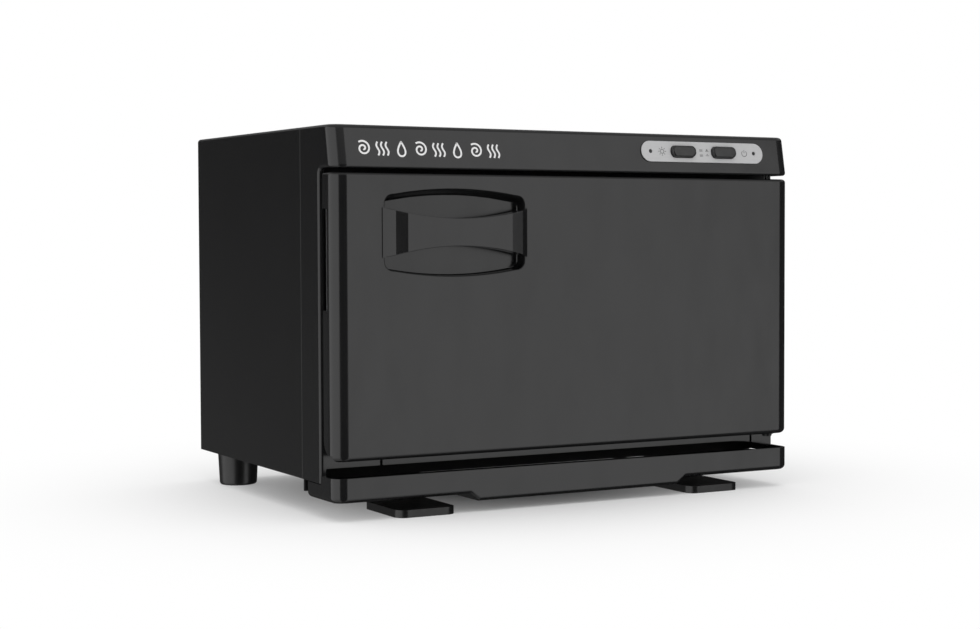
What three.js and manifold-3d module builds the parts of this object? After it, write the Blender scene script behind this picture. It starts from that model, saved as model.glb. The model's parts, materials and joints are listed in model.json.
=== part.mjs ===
// Hot towel cabinet: a sheet-metal cabinet with a moulded front, a side-hinged door and a drip tray.
// Millimetres, +Z up, front towards -Y, +X to the right. Heights start at the floor.
import * as THREE from "three";
import { mergeVertices } from "three/addons/utils/BufferGeometryUtils.js";
import Module from "manifold-3d";

const wasm = await Module();
wasm.setup();

// ---- Driving dimensions -------------------------------------------------

const HALF = 175; // half the overall width
const TOP = 249.7; // top of the case
const BASE = 22.7; // underside of the case
const SEAM = 30; // depth at which the case meets the front frame
const BACK = 229.4; // rear edge of the case
const FRONT = -23.4; // front plane of the door, the tray and the header's lower edge
const RECESS = 7; // the frame's face behind the door
const CORNER = 10; // vertical front corners
const GAP = 0.3; // clearance between touching pieces
const SHEET = 1.2; // sheet-metal thickness
const WALL = 2.5; // moulded wall thickness
const CASE_EDGE = 3; // bend radius along the case's top edges

const HEADER_BOTTOM = 222.4;
const HEADER_FACE = 224.4; // height at which the header's front face starts
const HEADER_LEAN = Math.atan(0.1976); // the header's face leans back by this angle
const SILL_TOP = 42.5;
const SILL_BOTTOM = 32;
const HINGE_BLOCK_TOP = 36.8;
const HINGE_SLIT = 157; // slit between the sill and the hinge block
const SILL_SLIT = -133;
const SLIT = 1.8;

const MOUTH = 132; // half the width of the chamber
const CHAMBER = [62, 208]; // floor and ceiling of the chamber
const CHAMBER_BACK = 190;
const LINER = 1;

const DOOR_BOTTOM = 38.1;
const DOOR_TOP = 219.8;
const DOOR_REAR = -6.3;
const HINGE = [163, -12]; // the door's axis, in plan
const PIN_RADIUS = 2;
const BORE_RADIUS = 2.3;

const HANDLE = [-90.3, 181.9]; // centre of the handle pocket, in the front plane
const POCKET_FLOOR = -13.9;
const BAR_FRONT = -31;

const TRAY_REAR = 25;
const TRAY_LIP = 27.8; // top of the tray's front part
const TRAY_UNDER = 22.2; // top of the part that slides under the case
const TRAY_FLOOR = [7, 12]; // underside in the middle and at the ends

const REAR_FOOT = [158.7, 195.4];
const FRONT_FOOT = [90, 131.5];
const FRONT_FOOT_SCREW = [110.75, 40];
const INLET = [148, 50]; // centre of the mains inlet, in the rear plane
const SCREW_HEAD = 2;
const PANEL_FRONT = BACK - 2.1; // front face of the rear panel
const REARMOST = PANEL_FRONT + SHEET + GAP + SCREW_HEAD;

// ---- Materials ----------------------------------------------------------

const finish = (color, roughness, metalness = 0) =>
  new THREE.MeshStandardMaterial({ color, roughness, metalness });
const blackPlastic = finish(0x2b2b2c, 0.45);
const blackPaint = finish(0x1d1d1e, 0.4, 0.1);
const silver = finish(0xb4b4b4, 0.4, 0.7);
const buttonPlastic = finish(0x2c2c2d, 0.4);
const steel = finish(0x9a9da0, 0.35, 0.9);
const aluminium = finish(0xb9bcbe, 0.35, 0.9);
const rubber = finish(0x151515, 0.8);
const sealRubber = finish(0x6d6f70, 0.75);
const foam = finish(0xd8d2c0, 0.95);
const glass = finish(0xdfe8f2, 0.1);
const lensPlastic = finish(0x101010, 0.3);
const whitePlastic = finish(0xe4e2dc, 0.5);
const boardGreen = finish(0x1f5a36, 0.6);
const leadBlack = finish(0x1a1a1a, 0.6);
const brass = finish(0xb08d4a, 0.4, 0.9);

// ---- Shape helpers ------------------------------------------------------

const X = new THREE.Vector3(1, 0, 0);
const Y = new THREE.Vector3(0, 1, 0);
const Z = new THREE.Vector3(0, 0, 1);
const ALONG = {
  x: new THREE.Matrix4().makeBasis(Y, Z, X),
  y: new THREE.Matrix4().makeBasis(X, Z, Y.clone().negate()),
  z: new THREE.Matrix4(),
};

// A closed geometry as a solid, with shared vertices merged and collapsed triangles dropped.
function solid(geometry) {
  const bare = geometry.clone();
  bare.deleteAttribute("normal");
  bare.deleteAttribute("uv");
  const merged = mergeVertices(bare, 1e-4);
  const index = merged.index.array;
  const kept = [];
  for (let i = 0; i < index.length; i += 3) {
    const [a, b, c] = index.slice(i, i + 3);
    if (a !== b && b !== c && a !== c) kept.push(a, b, c);
  }
  return new wasm.Manifold(
    new wasm.Mesh({
      numProp: 3,
      vertProperties: new Float32Array(merged.attributes.position.array),
      triVerts: new Uint32Array(kept),
    }),
  );
}

function box([x0, x1], [y0, y1], [z0, z1]) {
  const geometry = new THREE.BoxGeometry(x1 - x0, y1 - y0, z1 - z0);
  geometry.translate((x0 + x1) / 2, (y0 + y1) / 2, (z0 + z1) / 2);
  return solid(geometry);
}

// A rectangle with a radius at each corner: low left, low right, high right, high left.
function plate([u0, u1], [v0, v1], radii = [0, 0, 0, 0]) {
  const [a, b, c, d] = typeof radii === "number" ? Array(4).fill(radii) : radii;
  const shape = new THREE.Shape();
  const quarter = Math.PI / 2;
  shape.moveTo(u0 + a, v0);
  shape.lineTo(u1 - b, v0);
  if (b) shape.absarc(u1 - b, v0 + b, b, -quarter, 0);
  shape.lineTo(u1, v1 - c);
  if (c) shape.absarc(u1 - c, v1 - c, c, 0, quarter);
  shape.lineTo(u0 + d, v1);
  if (d) shape.absarc(u0 + d, v1 - d, d, quarter, 2 * quarter);
  shape.lineTo(u0, v0 + a);
  if (a) shape.absarc(u0 + a, v0 + a, a, 2 * quarter, 3 * quarter);
  return shape;
}

function polygon(points) {
  return new THREE.Shape(points.map(([u, v]) => new THREE.Vector2(u, v)));
}

// A section extruded along an axis: (y, z) along x, (x, z) along y, (x, y) along z.
function prism(shape, axis, [from, to], segments = 2) {
  const geometry = new THREE.ExtrudeGeometry(shape, {
    depth: to - from,
    bevelEnabled: false,
    curveSegments: segments,
  });
  geometry.applyMatrix4(ALONG[axis]);
  const start = { x: [from, 0, 0], y: [0, to, 0], z: [0, 0, from] }[axis];
  geometry.translate(...start);
  return solid(geometry);
}

function cylinder(axis, [u, v], [from, to], radius, sides = 12) {
  const circle = new THREE.Shape();
  circle.absarc(u, v, radius, 0, 2 * Math.PI);
  return prism(circle, axis, [from, to], sides / 2);
}

// A profile of (radius, height) pairs turned about a vertical axis at (x, y).
function turned(profile, [x, y], sides = 12) {
  const points = profile.map(([r, z]) => new THREE.Vector2(r, z));
  const geometry = new THREE.LatheGeometry(points, sides);
  geometry.rotateX(Math.PI / 2);
  geometry.translate(x, y, 0);
  return solid(geometry);
}

function tube(route, radius, steps) {
  const section = new THREE.Shape();
  section.absarc(0, 0, radius, 0, 2 * Math.PI);
  const path = new THREE.CatmullRomCurve3(
    route.map((p) => new THREE.Vector3(...p)),
  );
  return solid(
    new THREE.ExtrudeGeometry(section, {
      steps,
      extrudePath: path,
      curveSegments: 3,
    }),
  );
}

const join = (first, ...rest) => rest.reduce((a, b) => a.add(b), first);
const cut = (first, ...rest) => rest.reduce((a, b) => a.subtract(b), first);
const bothSides = (make) => [make(-1), make(1)];
const span = (side, near, far) =>
  side < 0 ? [-far, -near] : [near, far];
const grow = ([low, high], by) => [low - by, high + by];

// A shape leaned back with the header's face, about the height where that face starts.
function leaned(shape) {
  const shear = new THREE.Matrix4().set(
    1, 0, 0, 0,
    0, 1, Math.tan(HEADER_LEAN), -HEADER_FACE * Math.tan(HEADER_LEAN),
    0, 0, 1, 0,
    0, 0, 0, 1,
  );
  return shape.transform(shear.elements);
}

function geometryOf(shape) {
  const mesh = shape.getMesh();
  const geometry = new THREE.BufferGeometry();
  const position = new Float32Array(mesh.vertProperties);
  geometry.setAttribute("position", new THREE.BufferAttribute(position, 3));
  geometry.setIndex(new THREE.BufferAttribute(new Uint32Array(mesh.triVerts), 1));
  geometry.computeVertexNormals();
  return geometry;
}

function add(parent, name, shape, material) {
  const mesh = new THREE.Mesh(geometryOf(shape), material);
  mesh.name = name;
  parent.add(mesh);
}

// ---- Groups -------------------------------------------------------------

const group = new THREE.Group();
group.position.y = -(BAR_FRONT + REARMOST) / 2;
const cabinet = new THREE.Group();
const door = new THREE.Group();
const tray = new THREE.Group();
const controls = new THREE.Group(); // x along the header, y up its face, z out of it
controls.position.set(0, FRONT, HEADER_FACE);
controls.rotation.x = Math.PI / 2 - HEADER_LEAN;
controls.updateMatrix();
group.add(cabinet, door, tray, controls);
const onHeader = (shape) => shape.transform(controls.matrix.elements);

// ---- Case ---------------------------------------------------------------

const REAR_SCREWS = [
  [-168, 36],
  [168, 36],
  [-168, 236],
  [168, 236],
];
const SCREW_HOLE = 1.9;

const wrapOutline = plate([-HALF, HALF], [BASE, TOP], [0, 0, CASE_EDGE, CASE_EDGE]);
const wrapInside = plate(
  [-HALF + SHEET, HALF - SHEET],
  [BASE - 3, TOP - SHEET],
  [0, 0, CASE_EDGE - SHEET, CASE_EDGE - SHEET],
);
const rearFlange = cut(
  prism(wrapOutline, "y", [PANEL_FRONT - GAP - SHEET, PANEL_FRONT - GAP]),
  box([-163, 163], [BACK - 10, BACK], [BASE - 3, TOP - 12]),
  ...REAR_SCREWS.map((p) => cylinder("y", p, [BACK - 10, BACK], SCREW_HOLE, 8)),
);
add(
  cabinet,
  "outer_case",
  join(
    cut(
      prism(wrapOutline, "y", [SEAM + GAP, BACK]),
      prism(wrapInside, "y", [SEAM - 1, BACK + 1]),
    ),
    rearFlange,
  ),
  blackPaint,
);

const panInside = HALF - SHEET - GAP;
const footHoles = bothSides((side) => [
  cylinder("z", [side * REAR_FOOT[0], REAR_FOOT[1]], [BASE - 1, BASE + 3], 2, 8),
  cylinder(
    "z",
    [side * FRONT_FOOT_SCREW[0], FRONT_FOOT_SCREW[1]],
    [BASE - 1, BASE + 3],
    2,
    8,
  ),
]).flat();
add(
  cabinet,
  "base_pan",
  cut(
    box([-panInside, panInside], [SEAM + GAP, PANEL_FRONT - SHEET - 2 * GAP], [BASE, BASE + 13]),
    box([-panInside + SHEET, panInside - SHEET], [0, BACK], [BASE + SHEET, BASE + 14]),
    ...footHoles,
  ),
  blackPaint,
);

const VENTS = 13;
const ventSlots = Array.from({ length: VENTS }, (_, i) => {
  const x = (i - (VENTS - 1) / 2) * 10;
  return box([x - 2, x + 2], [BACK - 10, BACK], [186, 222]);
});
const inletHole = box(
  grow([INLET[0] - 13.5, INLET[0] + 13.5], GAP),
  [BACK - 10, BACK],
  grow([INLET[1] - 10, INLET[1] + 10], GAP),
);
add(
  cabinet,
  "rear_panel",
  cut(
    prism(
      plate([-panInside, panInside], [BASE + 0.2, TOP - SHEET - GAP], [0, 0, 2, 2]),
      "y",
      [PANEL_FRONT, PANEL_FRONT + SHEET],
    ),
    inletHole,
    ...ventSlots,
    ...REAR_SCREWS.map((p) => cylinder("y", p, [BACK - 10, BACK], SCREW_HOLE, 8)),
  ),
  blackPaint,
);

// A pan-head screw along the vertical axis, its head's seat at height 0, its tip below.
const screwProfile = [
  [0, -9],
  [1.2, -8.4],
  [1.5, -7.6],
  [1.5, 0],
  [3.2, 0],
  [3.1, 1],
  [1.9, SCREW_HEAD],
  [0, SCREW_HEAD],
];
REAR_SCREWS.forEach(([x, z], i) => {
  const screw = new THREE.Group();
  screw.position.set(x, PANEL_FRONT + SHEET + GAP, z);
  screw.rotation.x = -Math.PI / 2;
  cabinet.add(screw);
  add(screw, `rear_screw_${i + 1}`, turned(screwProfile, [0, 0], 10), steel);
});

// ---- Front frame --------------------------------------------------------

const headerPlan = (inset) =>
  plate(
    [-HALF + inset, HALF - inset],
    [FRONT + inset, 12],
    [CORNER - inset, CORNER - inset, 0, 0],
  );
// The space under the sill: square at the left, curving down to a thin post at the right.
const ARCH = [-171, 173];
const sillArch = new THREE.Shape();
sillArch.moveTo(ARCH[0], BASE - 5);
sillArch.lineTo(ARCH[1], BASE - 5);
sillArch.lineTo(ARCH[1], 26);
sillArch.quadraticCurveTo(160, SILL_BOTTOM, 135, SILL_BOTTOM);
sillArch.lineTo(ARCH[0], SILL_BOTTOM);

const BUTTONS = { uv: 84.3, power: 117.7 }; // centres along the header
const LENSES = { uv: 58.1, power: 143.7 };
const CONTROL_LINE = 13.2; // height of the controls up the header's face
const BUTTON = [9.7, 3.95]; // half width and half height
const LENS_RADIUS = 1;
const capsule = (u, [w, h], by = 0) =>
  plate(
    [u - w - by, u + w + by],
    [CONTROL_LINE - h - by, CONTROL_LINE + h + by],
    h - 0.5,
  );
const controlHoles = (range) =>
  ["uv", "power"].flatMap((key) => [
    prism(capsule(BUTTONS[key], BUTTON, GAP), "z", range),
    cylinder("z", [LENSES[key], CONTROL_LINE], range, LENS_RADIUS + GAP, 10),
  ]);

const frameOutside = join(
  leaned(prism(headerPlan(0), "z", [HEADER_BOTTOM, TOP], 3)),
  box([-HALF, HALF], [RECESS, SEAM], [BASE, TOP]),
  box([-HALF, -HALF + 3.5], [0, RECESS + 1], [BASE, HEADER_BOTTOM + 1]),
  box([-HALF, HINGE_SLIT], [0, RECESS + 1], [BASE, SILL_TOP]),
  box([HINGE_SLIT - 1, HALF], [0, RECESS + 1], [BASE, HINGE_BLOCK_TOP]),
).intersect(prism(wrapOutline, "y", [-40, 40]));
add(
  cabinet,
  "front_frame",
  cut(
    frameOutside,
    leaned(prism(headerPlan(WALL), "z", [HEADER_BOTTOM + WALL, TOP - WALL], 3)),
    box([-HALF + WALL, HALF - WALL], [RECESS + 3, SEAM + 1], [SILL_BOTTOM + WALL, TOP - WALL]),
    box([-MOUTH, MOUTH], [0, SEAM], CHAMBER),
    prism(sillArch, "y", [-1, 22], 3),
    box([HINGE_SLIT - SLIT / 2, HINGE_SLIT + SLIT / 2], [-1, 4], [BASE, SILL_TOP + 1]),
    box([SILL_SLIT - SLIT / 2, SILL_SLIT + SLIT / 2], [-1, 4], [BASE, SILL_TOP + 1]),
    cylinder("z", HINGE, [HEADER_BOTTOM - 1, HEADER_BOTTOM + WALL + 1], 2.6),
    ...controlHoles([-6, 2]).map(onHeader),
  ),
  blackPlastic,
);

// ---- Controls, in the header's own frame --------------------------------

const PLATE_TOP = 1.1;
add(
  controls,
  "control_plate",
  cut(
    prism(plate([50.8, 151.4], [6, 20.4], 7.1), "z", [GAP, PLATE_TOP], 3),
    ...controlHoles([-1, 3]),
  ),
  silver,
);
const BUTTON_FRONT = 4;
const STEM = [3, 2.5];
const BOARD = [-8.6, -7];
const around = (u, [w, h], by = 0) => [
  [u - w - by, u + w + by],
  [CONTROL_LINE - h - by, CONTROL_LINE + h + by],
];
for (const key of ["uv", "power"]) {
  const u = BUTTONS[key];
  add(
    controls,
    `${key}_button`,
    join(
      prism(capsule(u, BUTTON), "z", [-2, BUTTON_FRONT]),
      box(...around(u, STEM), [-12, -1.5]),
    ),
    buttonPlastic,
  );
  add(
    controls,
    `${key}_switch_body`,
    cut(
      box(...around(u, [9, 6.5]), [-26, BOARD[0] - 0.5]),
      box(...around(u, STEM, 0.4), [-15.6, -5]),
    ),
    whitePlastic,
  );
  add(
    controls,
    `${key}_indicator_lens`,
    cylinder("z", [LENSES[key], CONTROL_LINE], [BOARD[1] + 0.4, PLATE_TOP + 0.3], LENS_RADIUS, 10),
    lensPlastic,
  );
}
add(
  controls,
  "indicator_board",
  cut(
    box([52, 150], [5, 21], BOARD),
    ...Object.values(BUTTONS).map((u) => box(...around(u, STEM, 0.6), [-10, -5])),
  ),
  boardGreen,
);

// ---- Chamber ------------------------------------------------------------

const behindFrame = RECESS + 3 + GAP;
add(
  cabinet,
  "chamber_liner",
  cut(
    join(
      box(
        [-MOUTH - LINER, MOUTH + LINER],
        [behindFrame, CHAMBER_BACK + LINER],
        grow(CHAMBER, LINER),
      ),
      box([-148, 148], [behindFrame, behindFrame + LINER], [50, 220]),
    ),
    box([-MOUTH, MOUTH], [0, CHAMBER_BACK], CHAMBER),
  ),
  aluminium,
);
const padSide = MOUTH + LINER + GAP;
const linerBottom = CHAMBER[0] - LINER;
add(
  cabinet,
  "heater_plate",
  box([-100, 100], [35, 180], [linerBottom - GAP - 2.6, linerBottom - GAP]),
  steel,
);
add(
  cabinet,
  "thermostat",
  turned([[0, 47], [6.5, 47], [6.5, 53], [8, 53], [8, 57.6], [0, 57.6]], [-8, 104]),
  whitePlastic,
);
add(cabinet, "thermal_fuse", cylinder("y", [14, 53], [94, 114], 2.5, 8), whitePlastic);
const pads = {
  top: box([-padSide, padSide], [12, CHAMBER_BACK], [CHAMBER[1] + LINER + GAP, 229]),
  bottom: cut(
    box([-padSide, padSide], [32, CHAMBER_BACK], [30, 57.4]),
    box([-24, 24], [84, 124], [20, 60]),
  ),
  left: box([-158, -padSide], [12, CHAMBER_BACK], [40, 222]),
  right: box([padSide, 158], [12, CHAMBER_BACK], [40, 222]),
  rear: box([-padSide, padSide], [CHAMBER_BACK + LINER + GAP, 207], [40, 222]),
};
for (const [side, pad] of Object.entries(pads))
  add(cabinet, `insulation_${side}`, pad, foam);

const LAMP = [165, 196]; // depth and height of the lamp's axis
const LAMP_HALF = 67;
add(cabinet, "uv_tube", cylinder("x", LAMP, [-LAMP_HALF, LAMP_HALF], 7.5), glass);
for (const [side, name] of [[-1, "left"], [1, "right"]]) {
  const reach = span(side, LAMP_HALF - 6, LAMP_HALF + 8);
  add(
    cabinet,
    `uv_socket_${name}`,
    cut(
      box(reach, [LAMP[0] - 10, LAMP[0] + 10], [LAMP[1] - 10, CHAMBER[1] - GAP]),
      cylinder("x", LAMP, span(side, LAMP_HALF - 8, LAMP_HALF + GAP), 7.5 + GAP),
    ),
    whitePlastic,
  );
  const wall = MOUTH - GAP;
  add(
    cabinet,
    `rack_rail_${name}`,
    join(
      box(span(side, wall - 1, wall), [20, 180], [72, 82]),
      box(span(side, wall - 8, wall), [20, 180], [81, 82]),
    ),
    steel,
  );
}
add(cabinet, "lamp_ballast", box([40, 100], [60, 96], [229.6, 246.5]), whitePlastic);

// The rack: a border of thick wire with thinner wires laid across it.
const RACK_HEIGHT = 83.9;
const RACK_X = 128;
const RACK_Y = [26, 174];
const borderWires = [
  ...RACK_Y.map((y) => cylinder("x", [y, RACK_HEIGHT], [-RACK_X - 1.5, RACK_X + 1.5], 1.6, 6)),
  ...[-RACK_X, RACK_X].map((x) => cylinder("y", [x, RACK_HEIGHT], RACK_Y, 1.59, 6)),
];
const CROSS_WIRES = 11;
const crossWires = Array.from({ length: CROSS_WIRES }, (_, i) => {
  const x = (i - (CROSS_WIRES - 1) / 2) * 21;
  return cylinder("y", [x, RACK_HEIGHT + 2.1], [RACK_Y[0] - 2, RACK_Y[1] + 2], 1.3, 6);
});
add(cabinet, "wire_rack", join(...borderWires, ...crossWires), steel);

// ---- Power inlet and leads ----------------------------------------------

const [inletX, inletZ] = INLET;
const PINS = { line: [-7, -2], neutral: [7, -2], earth: [0, 2] };
const blade = ([dx, dz], range, by = 0) =>
  box(
    grow([inletX + dx - 1, inletX + dx + 1], by),
    range,
    grow([inletZ + dz - 2, inletZ + dz + 2], by),
  );
const flangeFront = PANEL_FRONT + SHEET + GAP;
add(
  cabinet,
  "power_inlet",
  cut(
    join(
      box([inletX - 13.5, inletX + 13.5], [206, flangeFront + 1], [inletZ - 10, inletZ + 10]),
      prism(
        plate([inletX - 16, inletX + 16], [inletZ - 12.5, inletZ + 12.5], 3),
        "y",
        [flangeFront, flangeFront + 1.8],
      ),
    ),
    box([inletX - 12, inletX + 12], [212, BACK + 5], [inletZ - 8, inletZ + 8]),
    ...Object.values(PINS).map((place) => blade(place, [200, 215], GAP)),
  ),
  blackPlastic,
);
for (const [name, place] of Object.entries(PINS))
  add(cabinet, `inlet_pin_${name}`, blade(place, [205, 225]), brass);
add(
  cabinet,
  "supply_lead",
  tube(
    [
      [inletX - 7, 204.4, inletZ - 2],
      [inletX - 7, 201, inletZ - 2],
      [150, 197, 48],
      [164, 196, 70],
      [165, 190, 150],
      [165, 170, 220],
      [163, 140, 238],
      [160, 60, 239],
      [150, 24, 238],
      [128, 13, 234],
      [118.5, 6.5, 232.2],
    ],
    1.7,
    30,
  ),
  leadBlack,
);
add(
  cabinet,
  "heater_lead",
  tube(
    [
      [inletX + 7, 204.4, inletZ - 2],
      [inletX + 7, 201, inletZ - 2.5],
      [150, 197, 38],
      [126, 194, 27.4],
      [60, 180, 27],
      [0, 140, 27],
      [-8, 112, 29],
      [-8, 105, 37],
      [-8, 104, 46.6],
    ],
    1.5,
    24,
  ),
  leadBlack,
);

// ---- Hinge and catch ----------------------------------------------------

const [hingeX, hingeY] = HINGE;
const lowerPlate = [HINGE_BLOCK_TOP + GAP, 39.8];
add(
  cabinet,
  "hinge_bracket_lower",
  cut(
    join(
      cylinder("z", HINGE, lowerPlate, 4.4),
      box([hingeX - 4.4, hingeX + 1.5], [hingeY, RECESS - GAP], lowerPlate),
    ),
    cylinder("z", HINGE, [30, 45], BORE_RADIUS),
  ),
  blackPaint,
);
const upperPlate = [HEADER_BOTTOM + WALL + GAP, 227.4];
add(
  cabinet,
  "hinge_bracket_upper",
  cut(
    box([150, 170.5], [hingeY - 5, 9], upperPlate),
    cylinder("z", HINGE, [220, 230], BORE_RADIUS),
  ),
  blackPaint,
);
const pinHead = 3.4;
const hingePin = (seat, tip, thick) => {
  const end = seat + thick;
  return turned(
    [[0, tip], [PIN_RADIUS, tip], [PIN_RADIUS, seat], [pinHead, seat], [pinHead, end], [0, end]],
    HINGE,
  );
};
add(cabinet, "hinge_pin_upper", hingePin(upperPlate[1] + GAP, 207.5, 1.4), blackPaint);
add(
  cabinet,
  "hinge_pin_lower",
  turned(
    [
      [0, lowerPlate[0] - GAP - 1.2],
      [pinHead, lowerPlate[0] - GAP - 1.2],
      [pinHead, lowerPlate[0] - GAP],
      [PIN_RADIUS, lowerPlate[0] - GAP],
      [PIN_RADIUS, 55.5],
      [0, 55.5],
    ],
    HINGE,
  ),
  blackPaint,
);
const CATCH_X = [-168, -158];
add(cabinet, "magnet_catch", box(CATCH_X, [-3, RECESS - GAP], [124, 152]), rubber);

// ---- Door ---------------------------------------------------------------

// Side view of the door: a lip at the front, a step and a large round behind it.
const ROUND = 8.7;
const LIP_ROUND = 3.5;
const LIP_REAR = -17.8;
const doorSide = new THREE.Shape();
doorSide.moveTo(FRONT + LIP_ROUND, DOOR_BOTTOM);
doorSide.lineTo(LIP_REAR, DOOR_BOTTOM);
doorSide.lineTo(LIP_REAR, 42);
doorSide.absarc(DOOR_REAR - ROUND, 42 + ROUND, ROUND, -Math.PI / 2, 0);
doorSide.lineTo(DOOR_REAR, DOOR_TOP - 2);
doorSide.lineTo(DOOR_REAR - 2, DOOR_TOP);
doorSide.absarc(FRONT + 2.5, DOOR_TOP - 2.5, 2.5, Math.PI / 2, Math.PI);
doorSide.absarc(FRONT + LIP_ROUND, DOOR_BOTTOM + LIP_ROUND, LIP_ROUND, Math.PI, 1.5 * Math.PI);

// The handle pocket: straight ends, crowned top and bottom, rounded corners.
function pocketOutline(by) {
  const [cx, cz] = HANDLE;
  const w = 49.7 + by;
  const end = 24 + by;
  const crown = 31.4 + by; // control height that lifts the middle to 27.7
  const r = 7 + by;
  const shape = new THREE.Shape();
  shape.moveTo(cx - w, cz - end + r);
  shape.quadraticCurveTo(cx - w, cz - end, cx - w + r, cz - end);
  shape.quadraticCurveTo(cx, cz - crown, cx + w - r, cz - end);
  shape.quadraticCurveTo(cx + w, cz - end, cx + w, cz - end + r);
  shape.lineTo(cx + w, cz + end - r);
  shape.quadraticCurveTo(cx + w, cz + end, cx + w - r, cz + end);
  shape.quadraticCurveTo(cx, cz + crown, cx - w + r, cz + end);
  shape.quadraticCurveTo(cx - w, cz + end, cx - w, cz + end - r);
  return shape;
}

const doorPlan = plate([-HALF, HALF], [FRONT, DOOR_REAR], [CORNER, CORNER, 0, 0]);
const doorInside = [-HALF + WALL, HALF - WALL];
const bosses = [[42.2, 58], [204, DOOR_TOP - 2.2]].map((range) =>
  box([hingeX - 6, HALF - WALL + 0.5], [-18, -7.2], range),
);
add(
  door,
  "door_shell",
  cut(
    join(
      cut(
        prism(doorSide, "x", [-HALF, HALF], 3).intersect(
          prism(doorPlan, "z", [0, TOP], 3),
        ),
        box(doorInside, [FRONT + WALL, -13], [44.5, DOOR_TOP - WALL]),
        box(doorInside, [FRONT + WALL, 0], [53.2, DOOR_TOP - WALL]),
      ),
      prism(pocketOutline(2), "y", [FRONT + 1, POCKET_FLOOR + 2], 5),
      ...bosses,
    ),
    prism(pocketOutline(0), "y", [FRONT - 1, POCKET_FLOOR], 5),
    box([-HALF - 1, -HALF + WALL + 0.5], [-11.5, 0], [133, 197]),
    cylinder("z", HINGE, [30, 56.5], BORE_RADIUS),
    cylinder("z", HINGE, [206, TOP], BORE_RADIUS),
  ),
  blackPlastic,
);

// The bar across the pocket: waisted in front view, with ramped ends in plan.
function barOutline() {
  const [cx] = HANDLE;
  const half = 51.5;
  const shape = new THREE.Shape();
  shape.moveTo(cx - half, 166);
  shape.quadraticCurveTo(cx, 180.8, cx + half, 166);
  shape.lineTo(cx + half, 197.8);
  shape.quadraticCurveTo(cx, 184.4, cx - half, 197.8);
  return shape;
}
const barSeat = FRONT - GAP;
const barPlan = (side) => [
  [side * 37.1, BAR_FRONT],
  [side * 45.1, BAR_FRONT + 0.9],
  [side * 51.5, barSeat],
  [side * 49.3, barSeat],
  [side * 49.3, -20],
  [side * 48, -20],
  [side * 48, POCKET_FLOOR - GAP],
  [side * 42, POCKET_FLOOR - GAP],
  [side * 42, -20.4],
];
const barSection = polygon(
  [...barPlan(-1), ...barPlan(1).reverse()].map(([x, y]) => [x + HANDLE[0], y]),
);
const postTrim = box([HANDLE[0] - 52, HANDLE[0] + 52], [-19.9, 0], [150, 173]).add(
  box([HANDLE[0] - 52, HANDLE[0] + 52], [-19.9, 0], [191, 215]),
);
add(
  door,
  "handle_bar",
  cut(prism(barOutline(), "y", [-40, 0], 8).intersect(prism(barSection, "z", [100, 240])), postTrim),
  blackPlastic,
);

const innerPanel = [DOOR_REAR + GAP, DOOR_REAR + GAP + SHEET];
const PLUG = { x: [-155, 155], z: [55, 215], rear: 1 };
add(
  door,
  "door_inner_panel",
  cut(
    join(
      box([-172, 172], innerPanel, [51, DOOR_TOP - 2.5]),
      box(PLUG.x, [innerPanel[0], PLUG.rear], PLUG.z),
    ),
    box(grow(PLUG.x, -SHEET), [innerPanel[0] - 1, PLUG.rear - SHEET], grow(PLUG.z, -SHEET)),
  ),
  aluminium,
);
add(
  door,
  "door_insulation",
  box([-150, 150], [-11.5, PLUG.rear - SHEET - GAP], [59, 211]),
  foam,
);
const gasketSection = 5;
const gasketInner = [[-MOUTH - 1.5, MOUTH + 1.5], grow(CHAMBER, 1.3)];
add(
  door,
  "door_gasket",
  cut(
    prism(
      plate(grow(gasketInner[0], gasketSection), grow(gasketInner[1], gasketSection), 6),
      "y",
      [PLUG.rear + GAP, RECESS - GAP],
    ),
    prism(plate(gasketInner[0], gasketInner[1], 2), "y", [0, SEAM]),
  ),
  sealRubber,
);
add(
  door,
  "strike_plate",
  box(CATCH_X, [innerPanel[1] + GAP, innerPanel[1] + GAP + 1.1], [126, 150]),
  steel,
);

// ---- Drip tray ----------------------------------------------------------

const TRAY_WALL = 2.5;
const [trayLow, trayHigh] = TRAY_FLOOR;
const trayFront = polygon([
  [-HALF, trayHigh],
  [-80, trayHigh],
  [-73.5, trayLow],
  [79, trayLow],
  [86, trayHigh],
  [HALF, trayHigh],
  [HALF, TRAY_LIP],
  [-HALF, TRAY_LIP],
]);
// Side view: rounded along the bottom edges.
const traySide = plate([FRONT, TRAY_REAR], [trayLow, TRAY_LIP + 5], [3.5, 5, 0, 0]);
const trayPlan = (inset) =>
  plate(
    [-HALF + inset, HALF - inset],
    [FRONT + inset, TRAY_REAR - inset],
    [9 - inset, 9 - inset, 5 - inset, 5 - inset],
  );
const trayBowl = [14.8, TRAY_LIP + 1];
const RUNNER_LEG = [18.9, 20.2];
add(
  tray,
  "drip_tray",
  join(
    cut(
      prism(trayPlan(0), "z", [0, TRAY_LIP + 5], 3)
        .intersect(prism(trayFront, "y", [FRONT - 1, TRAY_REAR + 1]))
        .intersect(prism(traySide, "x", [-HALF - 1, HALF + 1])),
      box([-HALF - 1, HALF + 1], [-0.8, TRAY_REAR + 1], [TRAY_UNDER, TRAY_LIP + 1]),
      prism(trayPlan(TRAY_WALL), "z", trayBowl),
      box([-71, 76], [FRONT + 4, TRAY_REAR - 5], [trayLow + TRAY_WALL, 16]),
      ...bothSides((side) => box(span(side, 136, HALF - 5), [15, TRAY_REAR + 1], [18.4, TRAY_LIP])),
    ),
    ...bothSides((side) =>
      box(span(side, 160, HALF - 1), [0, TRAY_REAR - 4], [20.6, TRAY_UNDER]),
    ),
  ),
  blackPlastic,
);

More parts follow.
